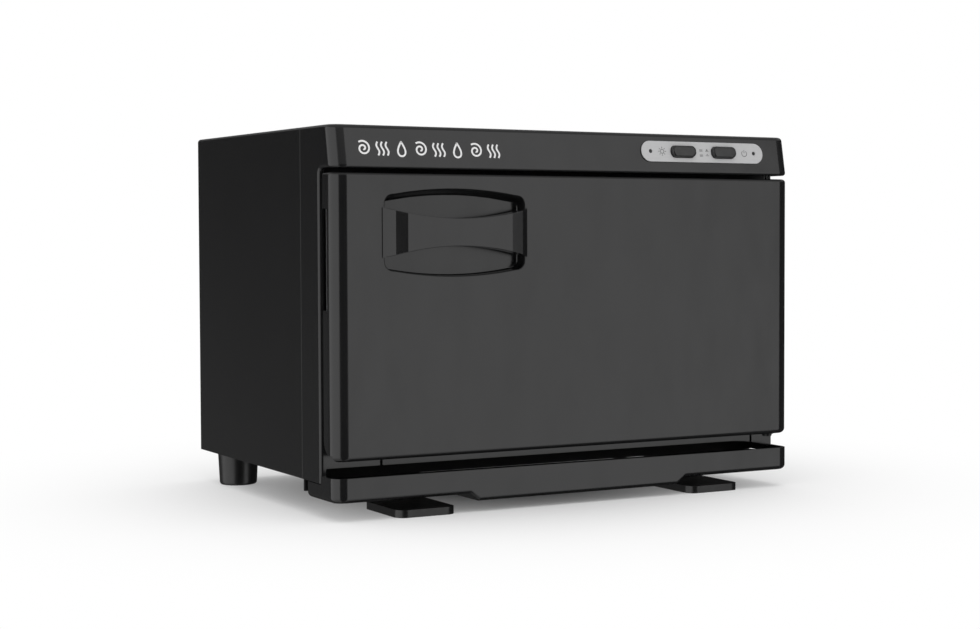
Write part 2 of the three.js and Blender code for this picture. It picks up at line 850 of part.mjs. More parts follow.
const under = BASE - GAP;
const STOP = [27, 29]; // the upright behind the tray's notched rear wall
for (const [side, name] of [[-1, "left"], [1, "right"]]) {
  const profile = [
    [138, under],
    [138, under - 1.3],
    [150, under - 1.3],
    [150, RUNNER_LEG[0]],
    [168, RUNNER_LEG[0]],
    [168, RUNNER_LEG[1]],
    [151.3, RUNNER_LEG[1]],
    [151.3, under],
  ].map(([x, z]) => [side * x, z]);
  if (side > 0) profile.reverse();
  const runner = prism(polygon(profile), "y", [0.5, STOP[1]]);
  const stop = box(span(side, 129, ARCH[1] - 3), STOP, [15, under]);
  add(cabinet, `tray_runner_${name}`, join(runner, stop), blackPaint);
}

// ---- Feet ---------------------------------------------------------------

const FOOT_PLATE = 5;
const FOOT_FRONT = -23;
const UPRIGHT = [TRAY_REAR + 0.6, TRAY_REAR + 5.6];
// A foot screw: its head's seat at a given height, its shank up into the case.
const footScrew = (seat) => [
  [0, seat - 2.4],
  [3, seat - 2.4],
  [4, seat - 1.2],
  [4, seat],
  [1.6, seat],
  [1.6, 28],
  [0, 28],
];
const rearFootProfile = [
  [12.4, 0],
  [13.2, 0.8],
  [14.3, under],
  [2, under],
  [2, 10],
  [5.2, 10],
  [5.2, 0],
  [12.4, 0],
];
for (const [side, name] of [[-1, "left"], [1, "right"]]) {
  const across = span(side, ...FRONT_FOOT);
  const screw = [side * FRONT_FOOT_SCREW[0], FRONT_FOOT_SCREW[1]];
  add(
    cabinet,
    `front_foot_${name}`,
    cut(
      join(
        prism(plate(across, [FOOT_FRONT, UPRIGHT[1]], [7, 7, 4, 4]), "z", [0, FOOT_PLATE], 3),
        box(grow(across, -4), UPRIGHT, [0.5, under]),
        box(grow(across, -4), [UPRIGHT[0], 48], [19.4, under]),
      ),
      cylinder("z", screw, [10, 30], 1.9, 8),
    ),
    rubber,
  );
  add(cabinet, `front_foot_screw_${name}`, turned(footScrew(19.1), screw, 10), steel);
  const place = [side * REAR_FOOT[0], REAR_FOOT[1]];
  add(cabinet, `rear_foot_${name}`, turned(rearFootProfile, place, 20), rubber);
  add(cabinet, `rear_foot_screw_${name}`, turned(footScrew(9.7), place, 10), steel);
}

export default group;
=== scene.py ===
"""Looks of the hot towel cabinet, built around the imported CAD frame.

Shapes are drawn in millimetres in the cabinet's own coordinates: x to the right, y from the front edge of
the door surround towards the back, z up from the floor. add_piece turns them into metres in the row frame.
"""

import json
import math

import bmesh
import bpy
from mathutils import Matrix, Vector


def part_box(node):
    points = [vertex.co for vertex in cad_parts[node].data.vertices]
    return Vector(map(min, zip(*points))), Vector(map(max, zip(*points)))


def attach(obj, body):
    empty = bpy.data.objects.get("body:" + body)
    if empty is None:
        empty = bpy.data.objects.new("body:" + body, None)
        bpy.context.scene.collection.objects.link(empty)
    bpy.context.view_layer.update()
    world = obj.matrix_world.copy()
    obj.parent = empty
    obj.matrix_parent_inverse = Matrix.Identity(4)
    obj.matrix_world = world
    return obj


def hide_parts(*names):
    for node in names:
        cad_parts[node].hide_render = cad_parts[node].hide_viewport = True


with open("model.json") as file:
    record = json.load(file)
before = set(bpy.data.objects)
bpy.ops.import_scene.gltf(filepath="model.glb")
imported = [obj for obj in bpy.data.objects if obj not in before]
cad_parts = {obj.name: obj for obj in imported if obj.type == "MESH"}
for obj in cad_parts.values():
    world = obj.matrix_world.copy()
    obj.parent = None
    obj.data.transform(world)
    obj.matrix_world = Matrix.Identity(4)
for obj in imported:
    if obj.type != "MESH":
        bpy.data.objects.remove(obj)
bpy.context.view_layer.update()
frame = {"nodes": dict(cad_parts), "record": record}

MM = 0.001


def node_box(name):
    """A CAD node's box in millimetres."""
    low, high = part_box(name)
    return low / MM, high / MM


# ---- Places and sizes ----

case_low, case_high = node_box("outer_case")
shell_low, shell_high = node_box("door_shell")
tray_low, tray_high = node_box("drip_tray")
bar_low, bar_high = node_box("handle_bar")

GAP = 0.3
SEAM = 30.0  # depth of the joint between the case and the front moulding
OFFSET = case_low.y - SEAM - GAP  # the row frame's y of the cabinet's own y = 0


def depths(name):
    """Front and rear of a CAD node in the cabinet's own y."""
    low, high = node_box(name)
    return low.y - OFFSET, high.y - OFFSET


def centre_of(name):
    """Centre of a CAD node's box in the cabinet's own x, y and z."""
    low, high = node_box(name)
    return (low.x + high.x) / 2, sum(depths(name)) / 2, (low.z + high.z) / 2


HALF = case_high.x
TOP = case_high.z
BASE = case_low.z
BACK = case_high.y - OFFSET
FRONT, DOOR_REAR = depths("door_shell")
DOOR_BOTTOM, DOOR_TOP = shell_low.z, shell_high.z
RECESS = 7.0  # the moulding's face behind the door
CORNER = 10.0
SHEET = 1.2
WALL = 2.5
EDGE = 2.5  # round along the top of the header and the case
HEADER_BOTTOM, HEADER_FACE = 222.4, 224.4
LEAN = math.atan(0.1976)  # the header's face leans back
SILL_TOP, SILL_BOTTOM = 42.5, 32.0
BLOCK_TOP = node_box("hinge_bracket_lower")[0].z - GAP
HINGE_SLIT, SILL_SLIT = 157.0, -133.0
SLIT = 1.8
MOUTH = 132.0
CHAMBER = (62.0, 208.0)
CHAMBER_BACK = 190.0
HINGE_X, HINGE_Y, _ = centre_of("hinge_pin_upper")
LIP_ROUND = 3.5
BAR_FRONT = bar_low.y - OFFSET
HANDLE = ((bar_low.x + bar_high.x) / 2, 181.9)
POCKET_FLOOR = -13.9
TRAY_REAR = tray_high.y - OFFSET
TRAY_LOW = tray_low.z
TRAY_RISE = 5.0
CONTROL_LINE = 13.2  # height of the controls up the header's face
BUTTON_U = {"uv": 84.3, "power": 117.7}
LENS_U = {"uv": 58.1, "power": 143.7}
BUTTON_SIZE = (9.7, 3.95)
LENS_RADIUS = 1.0
PLATE_TOP = 1.1
FRONT_SCREW = (110.75, 40.0)  # x and y of the screws that hold the feet
REAR_SCREW = (158.7, 195.4)
SOFT = math.radians(25)  # edges sharper than this get rounded
QUARTER = [math.radians(15 * k) for k in range(7)]  # turns of a rounded edge


def beside(place, side):
    """A place on the right (side 1), or its mirror image on the left (side -1)."""
    return (side * place[0], place[1])


# ---- Outlines ----


def arc(centre, radius, start, end, steps):
    """Points on an arc, angles in degrees."""
    points = []
    for i in range(steps + 1):
        angle = math.radians(start + (end - start) * i / steps)
        points.append((centre[0] + radius * math.cos(angle), centre[1] + radius * math.sin(angle)))
    return points


def rounded(low, high, radii, steps=8):
    """A rectangle with a radius at each corner: low left, low right, high right, high left."""
    (u0, v0), (u1, v1) = low, high
    radii = radii if isinstance(radii, (tuple, list)) else (radii,) * 4
    corners = [
        (u0, v0, 1, 1, 180),
        (u1, v0, -1, 1, 270),
        (u1, v1, -1, -1, 0),
        (u0, v1, 1, -1, 90),
    ]
    outline = []
    for radius, (u, v, du, dv, start) in zip(radii, corners):
        if radius:
            outline += arc((u + du * radius, v + dv * radius), radius, start, start + 90, steps)
        else:
            outline.append((u, v))
    return outline


def curve(start, middle, end, steps):
    """A quadratic curve without its last point."""
    points = []
    for i in range(steps):
        t = i / steps
        a, b, c = (1 - t) ** 2, 2 * t * (1 - t), t * t
        points.append(tuple(a * start[k] + b * middle[k] + c * end[k] for k in range(2)))
    return points


def mirrored(outline):
    return [(-u, v) for u, v in reversed(outline)]


def circle(centre, radius, steps=32):
    return arc(centre, radius, 0, 360, steps)[:-1]


# ---- Mesh tools ----

AXES = {
    "x": lambda u, v, w: (w, u, v),
    "y": lambda u, v, w: (u, w, v),
    "z": lambda u, v, w: (u, v, w),
}


def loft(rings, closed=False):
    """Skins rings of equal length; the ends are capped unless the rings close on themselves."""
    bm = bmesh.new()
    verts = [[bm.verts.new(p) for p in ring] for ring in rings]
    count = len(verts[0])
    pairs = list(zip(verts, verts[1:]))
    if closed:
        pairs.append((verts[-1], verts[0]))
    for near, far in pairs:
        for i in range(count):
            j = (i + 1) % count
            bm.faces.new((near[i], near[j], far[j], far[i]))
    if not closed:
        bm.faces.new(verts[0][::-1])
        bm.faces.new(verts[-1])
    bmesh.ops.recalc_face_normals(bm, faces=bm.faces)
    return bm


def extrude(outline, axis, low, high):
    """A prism: (y, z) outlines along x, (x, z) along y, (x, y) along z."""
    place = AXES[axis]
    return loft([[place(u, v, w) for u, v in outline] for w in (low, high)])


def block(x, y, z):
    return extrude(rounded((x[0], y[0]), (x[1], y[1]), 0), "z", *z)


def node_block(name):
    """A block as large as a CAD node's box."""
    low, high = node_box(name)
    return block((low.x, high.x), depths(name), (low.z, high.z))


def raised(outline, z):
    """An outline in plan, at a height."""
    return [(x, y, z) for x, y in outline]


def facing(outline, y):
    """An outline that faces the front, at a depth."""
    return [(x, y, z) for x, z in outline]


def turned(profile, centre, steps):
    """A (radius, height) profile turned about a vertical axis; a profile on the axis closes there."""
    bm = bmesh.new()
    columns = []
    for u, v in circle((0, 0), 1, steps):
        columns.append([bm.verts.new((centre[0] + r * u, centre[1] + r * v, z)) for r, z in profile])
    for i, near in enumerate(columns):
        far = columns[(i + 1) % steps]
        for k in range(len(profile) - 1):
            bm.faces.new((near[k], far[k], far[k + 1], near[k + 1]))
    bmesh.ops.remove_doubles(bm, verts=bm.verts, dist=1e-4)
    bmesh.ops.recalc_face_normals(bm, faces=bm.faces)
    return bm


def wire(points, radius, sides=12, closed=False):
    """A round wire along points."""
    rings = []
    count = len(points)
    normal = None
    for i, point in enumerate(points):
        here = Vector(point)
        before = Vector(points[i - 1]) if closed or i else here
        after = Vector(points[(i + 1) % count]) if closed or i < count - 1 else here
        along = (after - before).normalized()
        if normal is None:
            normal = along.orthogonal().normalized()
        normal = (normal - along * normal.dot(along)).normalized()
        across = along.cross(normal)
        rings.append([here + radius * (u * normal + v * across) for u, v in circle((0, 0), 1, sides)])
    return loft(rings, closed=closed)


def placed(name, data):
    made = bpy.data.objects.new(name, data)
    bpy.context.scene.collection.objects.link(made)
    return made


def mesh_object(name, bm):
    """An object made from a bmesh, which is freed."""
    mesh = bpy.data.meshes.new(name)
    bm.to_mesh(mesh)
    bm.free()
    return placed(name, mesh)


def combine(base, operation, tools):
    """base joined with, cut by or limited to the tools."""
    holder = mesh_object("temporary", base)
    others = [mesh_object("temporary", tool) for tool in tools]
    for other in others:
        modifier = holder.modifiers.new("combine", "BOOLEAN")
        modifier.operation = operation
        modifier.solver = "EXACT"
        modifier.object = other
    graph = bpy.context.evaluated_depsgraph_get()
    mesh = bpy.data.meshes.new_from_object(holder.evaluated_get(graph))
    result = bmesh.new()
    result.from_mesh(mesh)
    for made in (holder, *others):
        data = made.data
        bpy.data.objects.remove(made)
        bpy.data.meshes.remove(data)
    bpy.data.meshes.remove(mesh)
    bmesh.ops.remove_doubles(result, verts=result.verts, dist=1e-3)
    bmesh.ops.dissolve_limit(
        result, angle_limit=math.radians(0.4), verts=result.verts, edges=result.edges
    )
    return result


def join(base, *tools):
    return combine(base, "UNION", tools)


def cut(base, *tools):
    return combine(base, "DIFFERENCE", tools)


def bevel(bm, edges, radius, segments, **options):
    shape = {"offset_type": "OFFSET", "profile": 0.5, "affect": "EDGES"}
    bmesh.ops.bevel(bm, geom=edges, offset=radius, segments=segments, **shape, **options)


def round_edges(bm, radius, segments=3, where=None):
    """Rounds the sharp edges whose two ends both satisfy where."""
    edges = [
        e
        for e in bm.edges
        if len(e.link_faces) == 2
        and e.calc_face_angle(0) > SOFT
        and (where is None or (where(e.verts[0].co) and where(e.verts[1].co)))
    ]
    if edges:
        bevel(bm, edges, radius, segments, clamp_overlap=True)
    return bm


def near(value, target, by=0.02):
    return abs(value - target) < by


def on_header(bm):
    """Moves a shape drawn along the header's face (x, up the face, out of it) into place."""
    up = (0, math.sin(LEAN), math.cos(LEAN))
    out = (0, -math.cos(LEAN), math.sin(LEAN))
    turn = Matrix(((1, up[0], out[0]), (0, up[1], out[1]), (0, up[2], out[2]))).to_4x4()
    bm.transform(Matrix.Translation((0, FRONT, HEADER_FACE)) @ turn)
    return bm


# ---- Materials ----


def feed(tree, socket, value):
    """Sets an input, or links it when the value is another node's output."""
    if isinstance(value, bpy.types.NodeSocket):
        tree.links.new(value, socket)
    else:
        socket.default_value = value


def add_node(tree, kind, inputs=(), **settings):
    made = tree.nodes.new(f"ShaderNode{kind}")
    for name, value in settings.items():
        setattr(made, name, value)
    for key, value in dict(inputs).items():
        feed(tree, made.inputs[key], value)
    return made


class Look:
    """One material's nodes."""

    def __init__(self, name, colour, roughness, metallic=0.0):
        self.material = bpy.data.materials.new(name)
        self.material.use_nodes = True
        self.tree = self.material.node_tree
        self.shader = self.tree.nodes["Principled BSDF"]
        self.colour = colour
        self.roughness = roughness
        self.place = self.node("TexCoord").outputs["Object"]
        self.height = None
        self.set("Base Color", (*colour, 1))
        self.set("Roughness", roughness)
        self.set("Metallic", metallic)

    def node(self, kind, inputs=(), **settings):
        return add_node(self.tree, kind, inputs, **settings)

    def set(self, socket, value):
        feed(self.tree, self.shader.inputs[socket], value)

    def stretched(self, scale):
        """Object coordinates stretched by a scale along each axis."""
        return self.node("Mapping", {"Vector": self.place, "Scale": scale}).outputs["Vector"]

    def noise(self, scale, detail, place=None):
        inputs = {"Vector": place or self.place, "Scale": scale, "Detail": detail}
        return self.node("TexNoise", inputs).outputs["Fac"]

    def between(self, value, low, high, at=(0.3, 0.7)):
        inputs = {"Value": value, "From Min": at[0], "From Max": at[1], "To Min": low, "To Max": high}
        return self.node("MapRange", inputs).outputs["Result"]

    def math(self, operation, *values):
        return self.node("Math", dict(enumerate(values)), operation=operation).outputs[0]

    def vary_colour(self, value, darker, lighter):
        dark, light = ((*(c * by for c in self.colour), 1) for by in (darker, lighter))
        inputs = {0: self.between(value, 0, 1), 6: dark, 7: light}
        self.set("Base Color", self.node("Mix", inputs, data_type="RGBA").outputs[2])

    def vary_roughness(self, value, by):
        self.set("Roughness", self.between(value, self.roughness - by, self.roughness + by))

    def bump(self, value, depth_mm, strength):
        """Adds relief; later calls build on earlier ones."""
        inputs = {"Strength": strength, "Distance": depth_mm * MM, "Height": value}
        if self.height is not None:
            inputs["Normal"] = self.height
        self.height = self.node("Bump", inputs).outputs["Normal"]
        self.set("Normal", self.height)


def finish(name, colour, roughness, shade=None, spots=None, relief=(), sockets=()):
    """A look with noise in its colour (scale, detail, darker, lighter), its roughness (scale, detail, by)
    and its relief (scale, detail, millimetres, strength)."""
    look = Look(name, colour, roughness)
    if shade:
        look.vary_colour(look.noise(*shade[:2]), *shade[2:])
    if spots:
        look.vary_roughness(look.noise(*spots[:2]), spots[2])
    for scale, detail, depth_mm, strength in relief:
        look.bump(look.noise(scale, detail), depth_mm, strength)
    for socket, value in dict(sockets).items():
        look.set(socket, value)
    return look


BLACK = (0.0085, 0.0085, 0.0088), 0.17, (9, 3, 0.86, 1.14), None, [(900, 2, 0.003, 0.4), (70, 2, 0.005, 0.35)]
CASE_COAT = (7, 3, 0.9, 1.1), (45, 3, 0.015), [(420, 2, 0.0025, 0.2)]
REAR_COAT = (11, 3, 0.9, 1.1), (60, 3, 0.05), [(700, 2, 0.006, 0.5)]
BUTTON = (120, 3, 0.85, 1.15), (300, 3, 0.04), [(2400, 2, 0.004, 0.6)]
RUBBER = (160, 4, 0.88, 1.14), (240, 3, 0.035), [(1600, 2, 0.006, 0.5)]
MOULDED = (90, 3, 0.93, 1.05), (200, 3, 0.05), [(1300, 2, 0.006, 0.5)]
INK = (500, 3, 0.94, 1.04), (800, 2, 0.06), [(1800, 2, 0.003, 0.5)]
GLASS = None, (40, 3, 0.03), [(60, 2, 0.01, 0.2)]
LENS = None, (900, 2, 0.04), [(1500, 2, 0.002, 0.3)]


def black_plastic():
    """Smooth black moulding with a faint mould texture and wiping marks."""
    look = finish("black_moulding", *BLACK)
    look.vary_roughness(look.noise(60, 4, look.stretched((1, 1, 0.35))), 0.035)
    return look


def frame_plastic():
    """The black moulding, left matt in the recess behind the door."""
    look = finish("black_moulding_matt_recess", *BLACK)
    parts = look.node("SeparateXYZ", {0: look.place}).outputs
    start, end = ((OFFSET + y) * MM for y in (RECESS - 1.5, RECESS - 0.5))
    behind = look.between(parts["Y"], 0, 0.6, (start, end))
    across = look.math("ABSOLUTE", parts["X"])
    within = look.between(across, 1, 0, ((HALF - 2.0) * MM, (HALF - 1.0) * MM))
    recess = look.math("MULTIPLY", behind, within)
    spots = look.between(look.noise(60, 4), 0.14, 0.2)
    look.set("Roughness", look.math("ADD", recess, spots))
    return look


def silver():
    """Satin silver with fine lines along it."""
    look = Look("satin_silver", (0.56, 0.56, 0.565), 0.42, 0.3)
    grain = look.noise(30, 4, look.stretched((4, 90, 90)))
    look.vary_colour(grain, 0.94, 1.05)
    look.vary_roughness(grain, 0.05)
    look.bump(grain, 0.002, 0.4)
    return look


def brushed(name, colour, roughness, along):
    """Bare metal with brushing lines along one axis."""
    look = Look(name, colour, roughness, 1.0)
    stretch = [260.0, 260.0, 260.0]
    stretch["xyz".index(along)] = 5.0
    grain = look.noise(4, 5, look.stretched(stretch))
    look.vary_colour(grain, 0.86, 1.08)
    look.bump(grain, 0.004, 0.5)
    look.vary_roughness(look.noise(14, 2), 0.03)
    return look


def felt():
    """Felted fibre, matted in clumps."""
    look = Look("felted_fibre", (0.62, 0.57, 0.46), 0.95)
    fibres = look.noise(260, 6)
    look.vary_colour(fibres, 0.72, 1.15)
    look.bump(fibres, 0.5, 0.8)
    clumps = look.node("TexVoronoi", {"Vector": look.place, "Scale": 180})
    look.bump(clumps.outputs["Distance"], 0.6, 0.5)
    look.set("Sheen Weight", 0.4)
    return look


LOOKS = {
    "case_paint": finish("powder_coat", (0.0078, 0.0078, 0.008), 0.24, *CASE_COAT),
    "black_plastic": black_plastic(),
    "button_plastic": finish("charcoal_moulding", (0.013, 0.013, 0.0135), 0.2, *BUTTON),
    "silver_plate": silver(),
    "lens_plastic": finish("smoked_lens", (0.004, 0.004, 0.005), 0.12, *LENS, {"Coat Weight": 0.6}),
    "white_plastic": finish("white_moulding", (0.74, 0.73, 0.69), 0.45, *MOULDED),
    "circuit_board": finish("solder_mask", (0.02, 0.14, 0.06), 0.35, *MOULDED),
    "liner_metal": brushed("brushed_liner", (0.62, 0.63, 0.64), 0.3, "x"),
    "insulation_felt": felt(),
    "lamp_glass": finish(
        "quartz_glass", (0.86, 0.9, 0.97), 0.06, *GLASS, {"Transmission Weight": 0.85, "IOR": 1.46}
    ),
    "lead_sheath": finish("lead_sheath", (0.02, 0.02, 0.02), 0.5, *RUBBER),
    "pin_metal": brushed("bare_brass", (0.65, 0.45, 0.2), 0.3, "y"),
    "foot_rubber": finish("foot_rubber", (0.006, 0.006, 0.006), 0.32, *RUBBER),
    "gasket_rubber": finish("gasket_silicone", (0.11, 0.115, 0.12), 0.5, *RUBBER),
    "catch_plastic": finish("catch_moulding", (0.03, 0.03, 0.03), 0.45, *MOULDED),
    "bright_steel": brushed("zinc_plate", (0.5, 0.51, 0.53), 0.32, "z"),
}
FRAME_PLASTIC = frame_plastic()
# The back's coat is a dark grey powder coat painted lighter than the case: painted light, standing in for the
# light the back does not get.
BACK_PAINTED_LIGHTER = finish("back_coat_painted_lighter", (0.034, 0.034, 0.035), 0.5, *REAR_COAT)
WHITE_PRINT = finish("white_print", (0.86, 0.86, 0.86), 0.5, *INK)
DARK_PRINT = finish("dark_print", (0.09, 0.09, 0.09), 0.5, *INK)
SLOT_OF = {s["node"]: s["material_slot"] for s in frame["record"]["subparts"]}
BODY_OF = {
    node: body for body, nodes in frame["record"]["behaviour"]["bodies"].items() for node in nodes
}


# ---- Pieces ----


def add_piece(name, bm, node, look=None, crisp=35, stands_for=True, edges=None):
    """Makes a piece that takes its body and finish from a CAD node, and stands for it.
    edges is the radius and segments for the edges that are still sharp."""
    if edges:
        round_edges(bm, *edges)
    bm.transform(Matrix.Scale(MM, 4) @ Matrix.Translation((0, OFFSET, 0)))
    made = mesh_object(name, bm)
    mesh = made.data
    for face in mesh.polygons:
        face.use_smooth = True
    mesh.set_sharp_from_angle(angle=math.radians(crisp))
    mesh.materials.append((look or LOOKS[SLOT_OF[node]]).material)
    normals = made.modifiers.new("normals", "WEIGHTED_NORMAL")
    normals.keep_sharp = True
    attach(made, BODY_OF[node])
    if stands_for:
        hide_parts(node)
    return made


def front_plan(front, rear, inset):
    """The cabinet's outline in plan, drawn in by an amount, with rounded front corners."""
    side, r = HALF - inset, CORNER - inset
    return rounded((-side, front + inset), (side, rear), (r, r, 0, 0), 12)


def header_y(z):
    """Depth of the header's leaning face at a height."""
    return FRONT + (z - HEADER_FACE) * math.tan(LEAN)


def capsule(u, by=0.0, steps=8):
    w, h = BUTTON_SIZE
    low, high = (u - w - by, CONTROL_LINE - h - by), (u + w + by, CONTROL_LINE + h + by)
    return rounded(low, high, h - 0.5 + by, steps)


def control_holes(low, high):
    """Clearance for the buttons and lenses, drawn along the header's face."""
    outlines = [capsule(u, GAP) for u in BUTTON_U.values()]
    outlines += [circle((u, CONTROL_LINE), LENS_RADIUS + GAP, 20) for u in LENS_U.values()]
    return [extrude(outline, "z", low, high) for outline in outlines]


def hinge_bore(low, high, radius=2.3):
    return extrude(circle((HINGE_X, HINGE_Y), radius, 24), "z", low, high)


def case():
    wrap = rounded((-HALF, BASE), (HALF, TOP), (0, 0, EDGE, EDGE), 6)
    inside = rounded(
        (-HALF + SHEET, BASE - 3), (HALF - SHEET, TOP - SHEET), (0, 0, EDGE - SHEET, EDGE - SHEET)
    )
    bm = cut(extrude(wrap, "y", SEAM + GAP, BACK), extrude(inside, "y", SEAM - 1, BACK + 1))
    flange = cut(
        extrude(wrap, "y", BACK - 3.6, BACK - 2.4),
        block((-163, 163), (BACK - 10, BACK), (BASE - 3, TOP - 12)),
    )
    bm = join(bm, flange)
    add_piece("case_wrap", bm, "outer_case", edges=(0.35, 3))


def moulding():
    """Header, door surround and sill in one moulding."""
    levels = [(HEADER_BOTTOM, 0.0)]
    levels += [(TOP - EDGE + EDGE * math.sin(t), EDGE * (1 - math.cos(t))) for t in QUARTER]
    bm = loft([raised(front_plan(header_y(z), 12, inset), z) for z, inset in levels])
    frame_face = rounded((-HALF, BASE), (HALF, TOP), (0, 0, EDGE, EDGE), 6)
    bm = join(
        bm,
        extrude(frame_face, "y", RECESS, SEAM),
        block((-HALF, HINGE_SLIT), (0, RECESS + 1), (BASE, SILL_TOP)),
        block((HINGE_SLIT - 1, HALF), (0, RECESS + 1), (BASE, BLOCK_TOP)),
    )
    fillet = 4.0
    rim = arc((-fillet, HEADER_BOTTOM - fillet), fillet, 0, 90, 6)
    rim += [(-fillet, HEADER_BOTTOM + 1), (RECESS + 1, HEADER_BOTTOM + 1), (RECESS + 1, BASE), (0, BASE)]
    bm = join(bm, extrude(rim, "x", -HALF, -HALF + 3.5))
    round_edges(
        bm,
        2.2,
        5,
        lambda p: (near(p.z, HEADER_BOTTOM) and p.y < RECESS + 0.02 and (p.y < -fillet + 0.1 or p.x > 0))
        or (near(p.x, -HALF) and p.y < 0.02 and p.z < HEADER_BOTTOM + 0.02),
    )
    inner = HALF - WALL
    heights = (HEADER_BOTTOM + WALL, TOP - WALL)
    hollow = [raised(front_plan(header_y(z), RECESS + 4, WALL), z) for z in heights]
    ring_hollow = block((-inner, inner), (RECESS + 3, SEAM + 1), (SILL_BOTTOM + WALL, TOP - WALL))
    arch = [(-171, BASE - 5), (173, BASE - 5)]
    arch += curve((173, 26), (160, SILL_BOTTOM), (135, SILL_BOTTOM), 16)
    arch += [(135, SILL_BOTTOM), (-171, SILL_BOTTOM)]
    slits = [
        block((x - SLIT / 2, x + SLIT / 2), (-1, 4), (BASE, SILL_TOP + 1))
        for x in (HINGE_SLIT, SILL_SLIT)
    ]
    bm = cut(
        bm,
        loft(hollow),
        ring_hollow,
        extrude(rounded((-MOUTH, CHAMBER[0]), (MOUTH, CHAMBER[1]), 4, 5), "y", 0, SEAM),
        extrude(arch, "y", -1, 22),
        hinge_bore(HEADER_BOTTOM - 1, HEADER_BOTTOM + WALL + 1, 2.6),
        *slits,
        *(on_header(hole) for hole in control_holes(-6, 2)),
    )
    add_piece("front_moulding", bm, "front_frame", look=FRAME_PLASTIC, edges=(0.3, 2))


def pocket_outline(by=0.0, draft=0.0):
    """The handle pocket: straight ends, crowned top and bottom. draft lowers the top."""
    cx, cz = HANDLE
    w, end, crown, r = 49.7 + by, 24.0 + by, 31.4 + by, 7.0 + by
    left, right, low, high = cx - w, cx + w, cz - end, cz + end
    outline = curve((left, low + r), (left, low), (left + r, low), 8)
    outline += curve((left + r, low), (cx, cz - crown), (right - r, low), 24)
    outline += curve((right - r, low), (right, low), (right, low + r), 8)
    outline += curve((right, high - r), (right, high), (right - r, high), 8)
    outline += curve((right - r, high), (cx, cz + crown), (left + r, high), 24)
    outline += curve((left + r, high), (left, high), (left, high - r), 8)
    rises = [min(1.0, max(0.0, (z - cz) / end)) for _, z in outline]
    return [(x, z - draft * rise**3) for (x, z), rise in zip(outline, rises)]


def door_shell():
    round_rear, lip_rear, step = 8.7, -17.8, 42.0
    side = [(FRONT, DOOR_BOTTOM), (lip_rear, DOOR_BOTTOM), (lip_rear, step)]
    side += arc((DOOR_REAR - round_rear, step + round_rear), round_rear, -90, 0, 10)
    side += [(DOOR_REAR, DOOR_TOP), (FRONT, DOOR_TOP)]
    r, top_round = LIP_ROUND, 2.3
    levels = [(DOOR_BOTTOM + r - r * math.cos(t), r - r * math.sin(t)) for t in QUARTER]
    levels += [
        (DOOR_TOP - top_round + top_round * math.sin(t), top_round - top_round * math.cos(t)) for t in QUARTER
    ]
    bm = loft([raised(front_plan(FRONT, 0, inset), z) for z, inset in levels])
    bm = combine(bm, "INTERSECT", [extrude(side, "x", -HALF - 1, HALF + 1)])
    depths_in = [(FRONT - 2, 1.2, 0), (FRONT, 0.75, 0), (FRONT + 0.2, 0.35, 0), (FRONT + 0.8, 0.05, 0.2)]
    depths_in.append((POCKET_FLOOR, -0.4, 2.6))
    pocket = loft([facing(pocket_outline(by, draft), y) for y, by, draft in depths_in])
    round_edges(pocket, 1.0, 3, lambda p: near(p.y, POCKET_FLOOR))
    bucket = extrude(pocket_outline(2), "y", FRONT + 1, POCKET_FLOOR + 2)
    hollow = extrude(front_plan(FRONT, 1, WALL), "z", 44.5, DOOR_TOP - WALL)
    shelf = block((-HALF, HALF), (-13, 2), (44, 53.2))
    bm = cut(bm, cut(hollow, shelf))
    boss_x = (HINGE_X - 6, HALF - WALL + 0.5)
    bm = join(
        bm,
        bucket,
        block(boss_x, (-18, -7.2), (42.2, 58)),
        block(boss_x, (-18, -7.2), (204, DOOR_TOP - 2.2)),
    )
    bm = cut(
        bm,
        pocket,
        extrude(rounded((-14.0, 133), (2, 197), 2.4, 5), "x", -HALF - 1, -HALF + 3),
        hinge_bore(30, 56.5),
        hinge_bore(206, TOP),
    )
    add_piece("door_moulding", bm, "door_shell", edges=(0.35, 2))


def handle():
    """The bar across the pocket: waisted, with a ramp and a shallow facet at each end."""
    cx = HANDLE[0]
    half = 51.5
    seat = FRONT - GAP
    facet, ramp = 37.1, 45.1
    stations = [half, 49.5, 49.2, 47.2, ramp, 42.4, 39.8, facet]
    inner_steps = 12
    offsets = [-s for s in stations]
    offsets += [-facet + 2 * facet * i / inner_steps for i in range(1, inner_steps)]
    offsets += stations[::-1]
    rings = []
    for dx in offsets:
        reach = abs(dx)
        if reach > ramp:
            y = seat + (BAR_FRONT + 0.9 - seat) * (half - reach) / (half - ramp)
        elif reach > facet:
            y = BAR_FRONT + 0.9 * (reach - facet) / (ramp - facet)
        else:
            y = BAR_FRONT
        rear = seat + 0.01 if reach > 49.4 else -19.9
        front = min(y, seat)
        share = 1 - (dx / half) ** 2
        low, high = 166 + 7.4 * share, 197.8 - 6.7 * share
        section = [(front, low), (rear, low), (rear, high), (front, high)]
        rings.append([(cx + dx, depth, z) for depth, z in section])
    for ring in (rings[0], rings[-1]):
        for k in (0, 3):
            x, _, z = ring[k]
            ring[k] = (x, seat - 0.4, z)
    bm = loft(rings)
    long_edges = [
        e
        for e in bm.edges
        if all(v.co.y < seat - 0.5 for v in e.verts)
        and abs(e.verts[0].co.x - e.verts[1].co.x) > 0.1
        and e.calc_face_angle(0) > SOFT
    ]
    bevel(bm, long_edges, 0.45, 3)
    for side in (-1, 1):
        post = sorted((cx + side * 42, cx + side * 48))
        bm = join(bm, block(post, (-21, POCKET_FLOOR - GAP), (173.6, 190.4)))
    add_piece("handle_moulding", bm, "handle_bar", crisp=5)


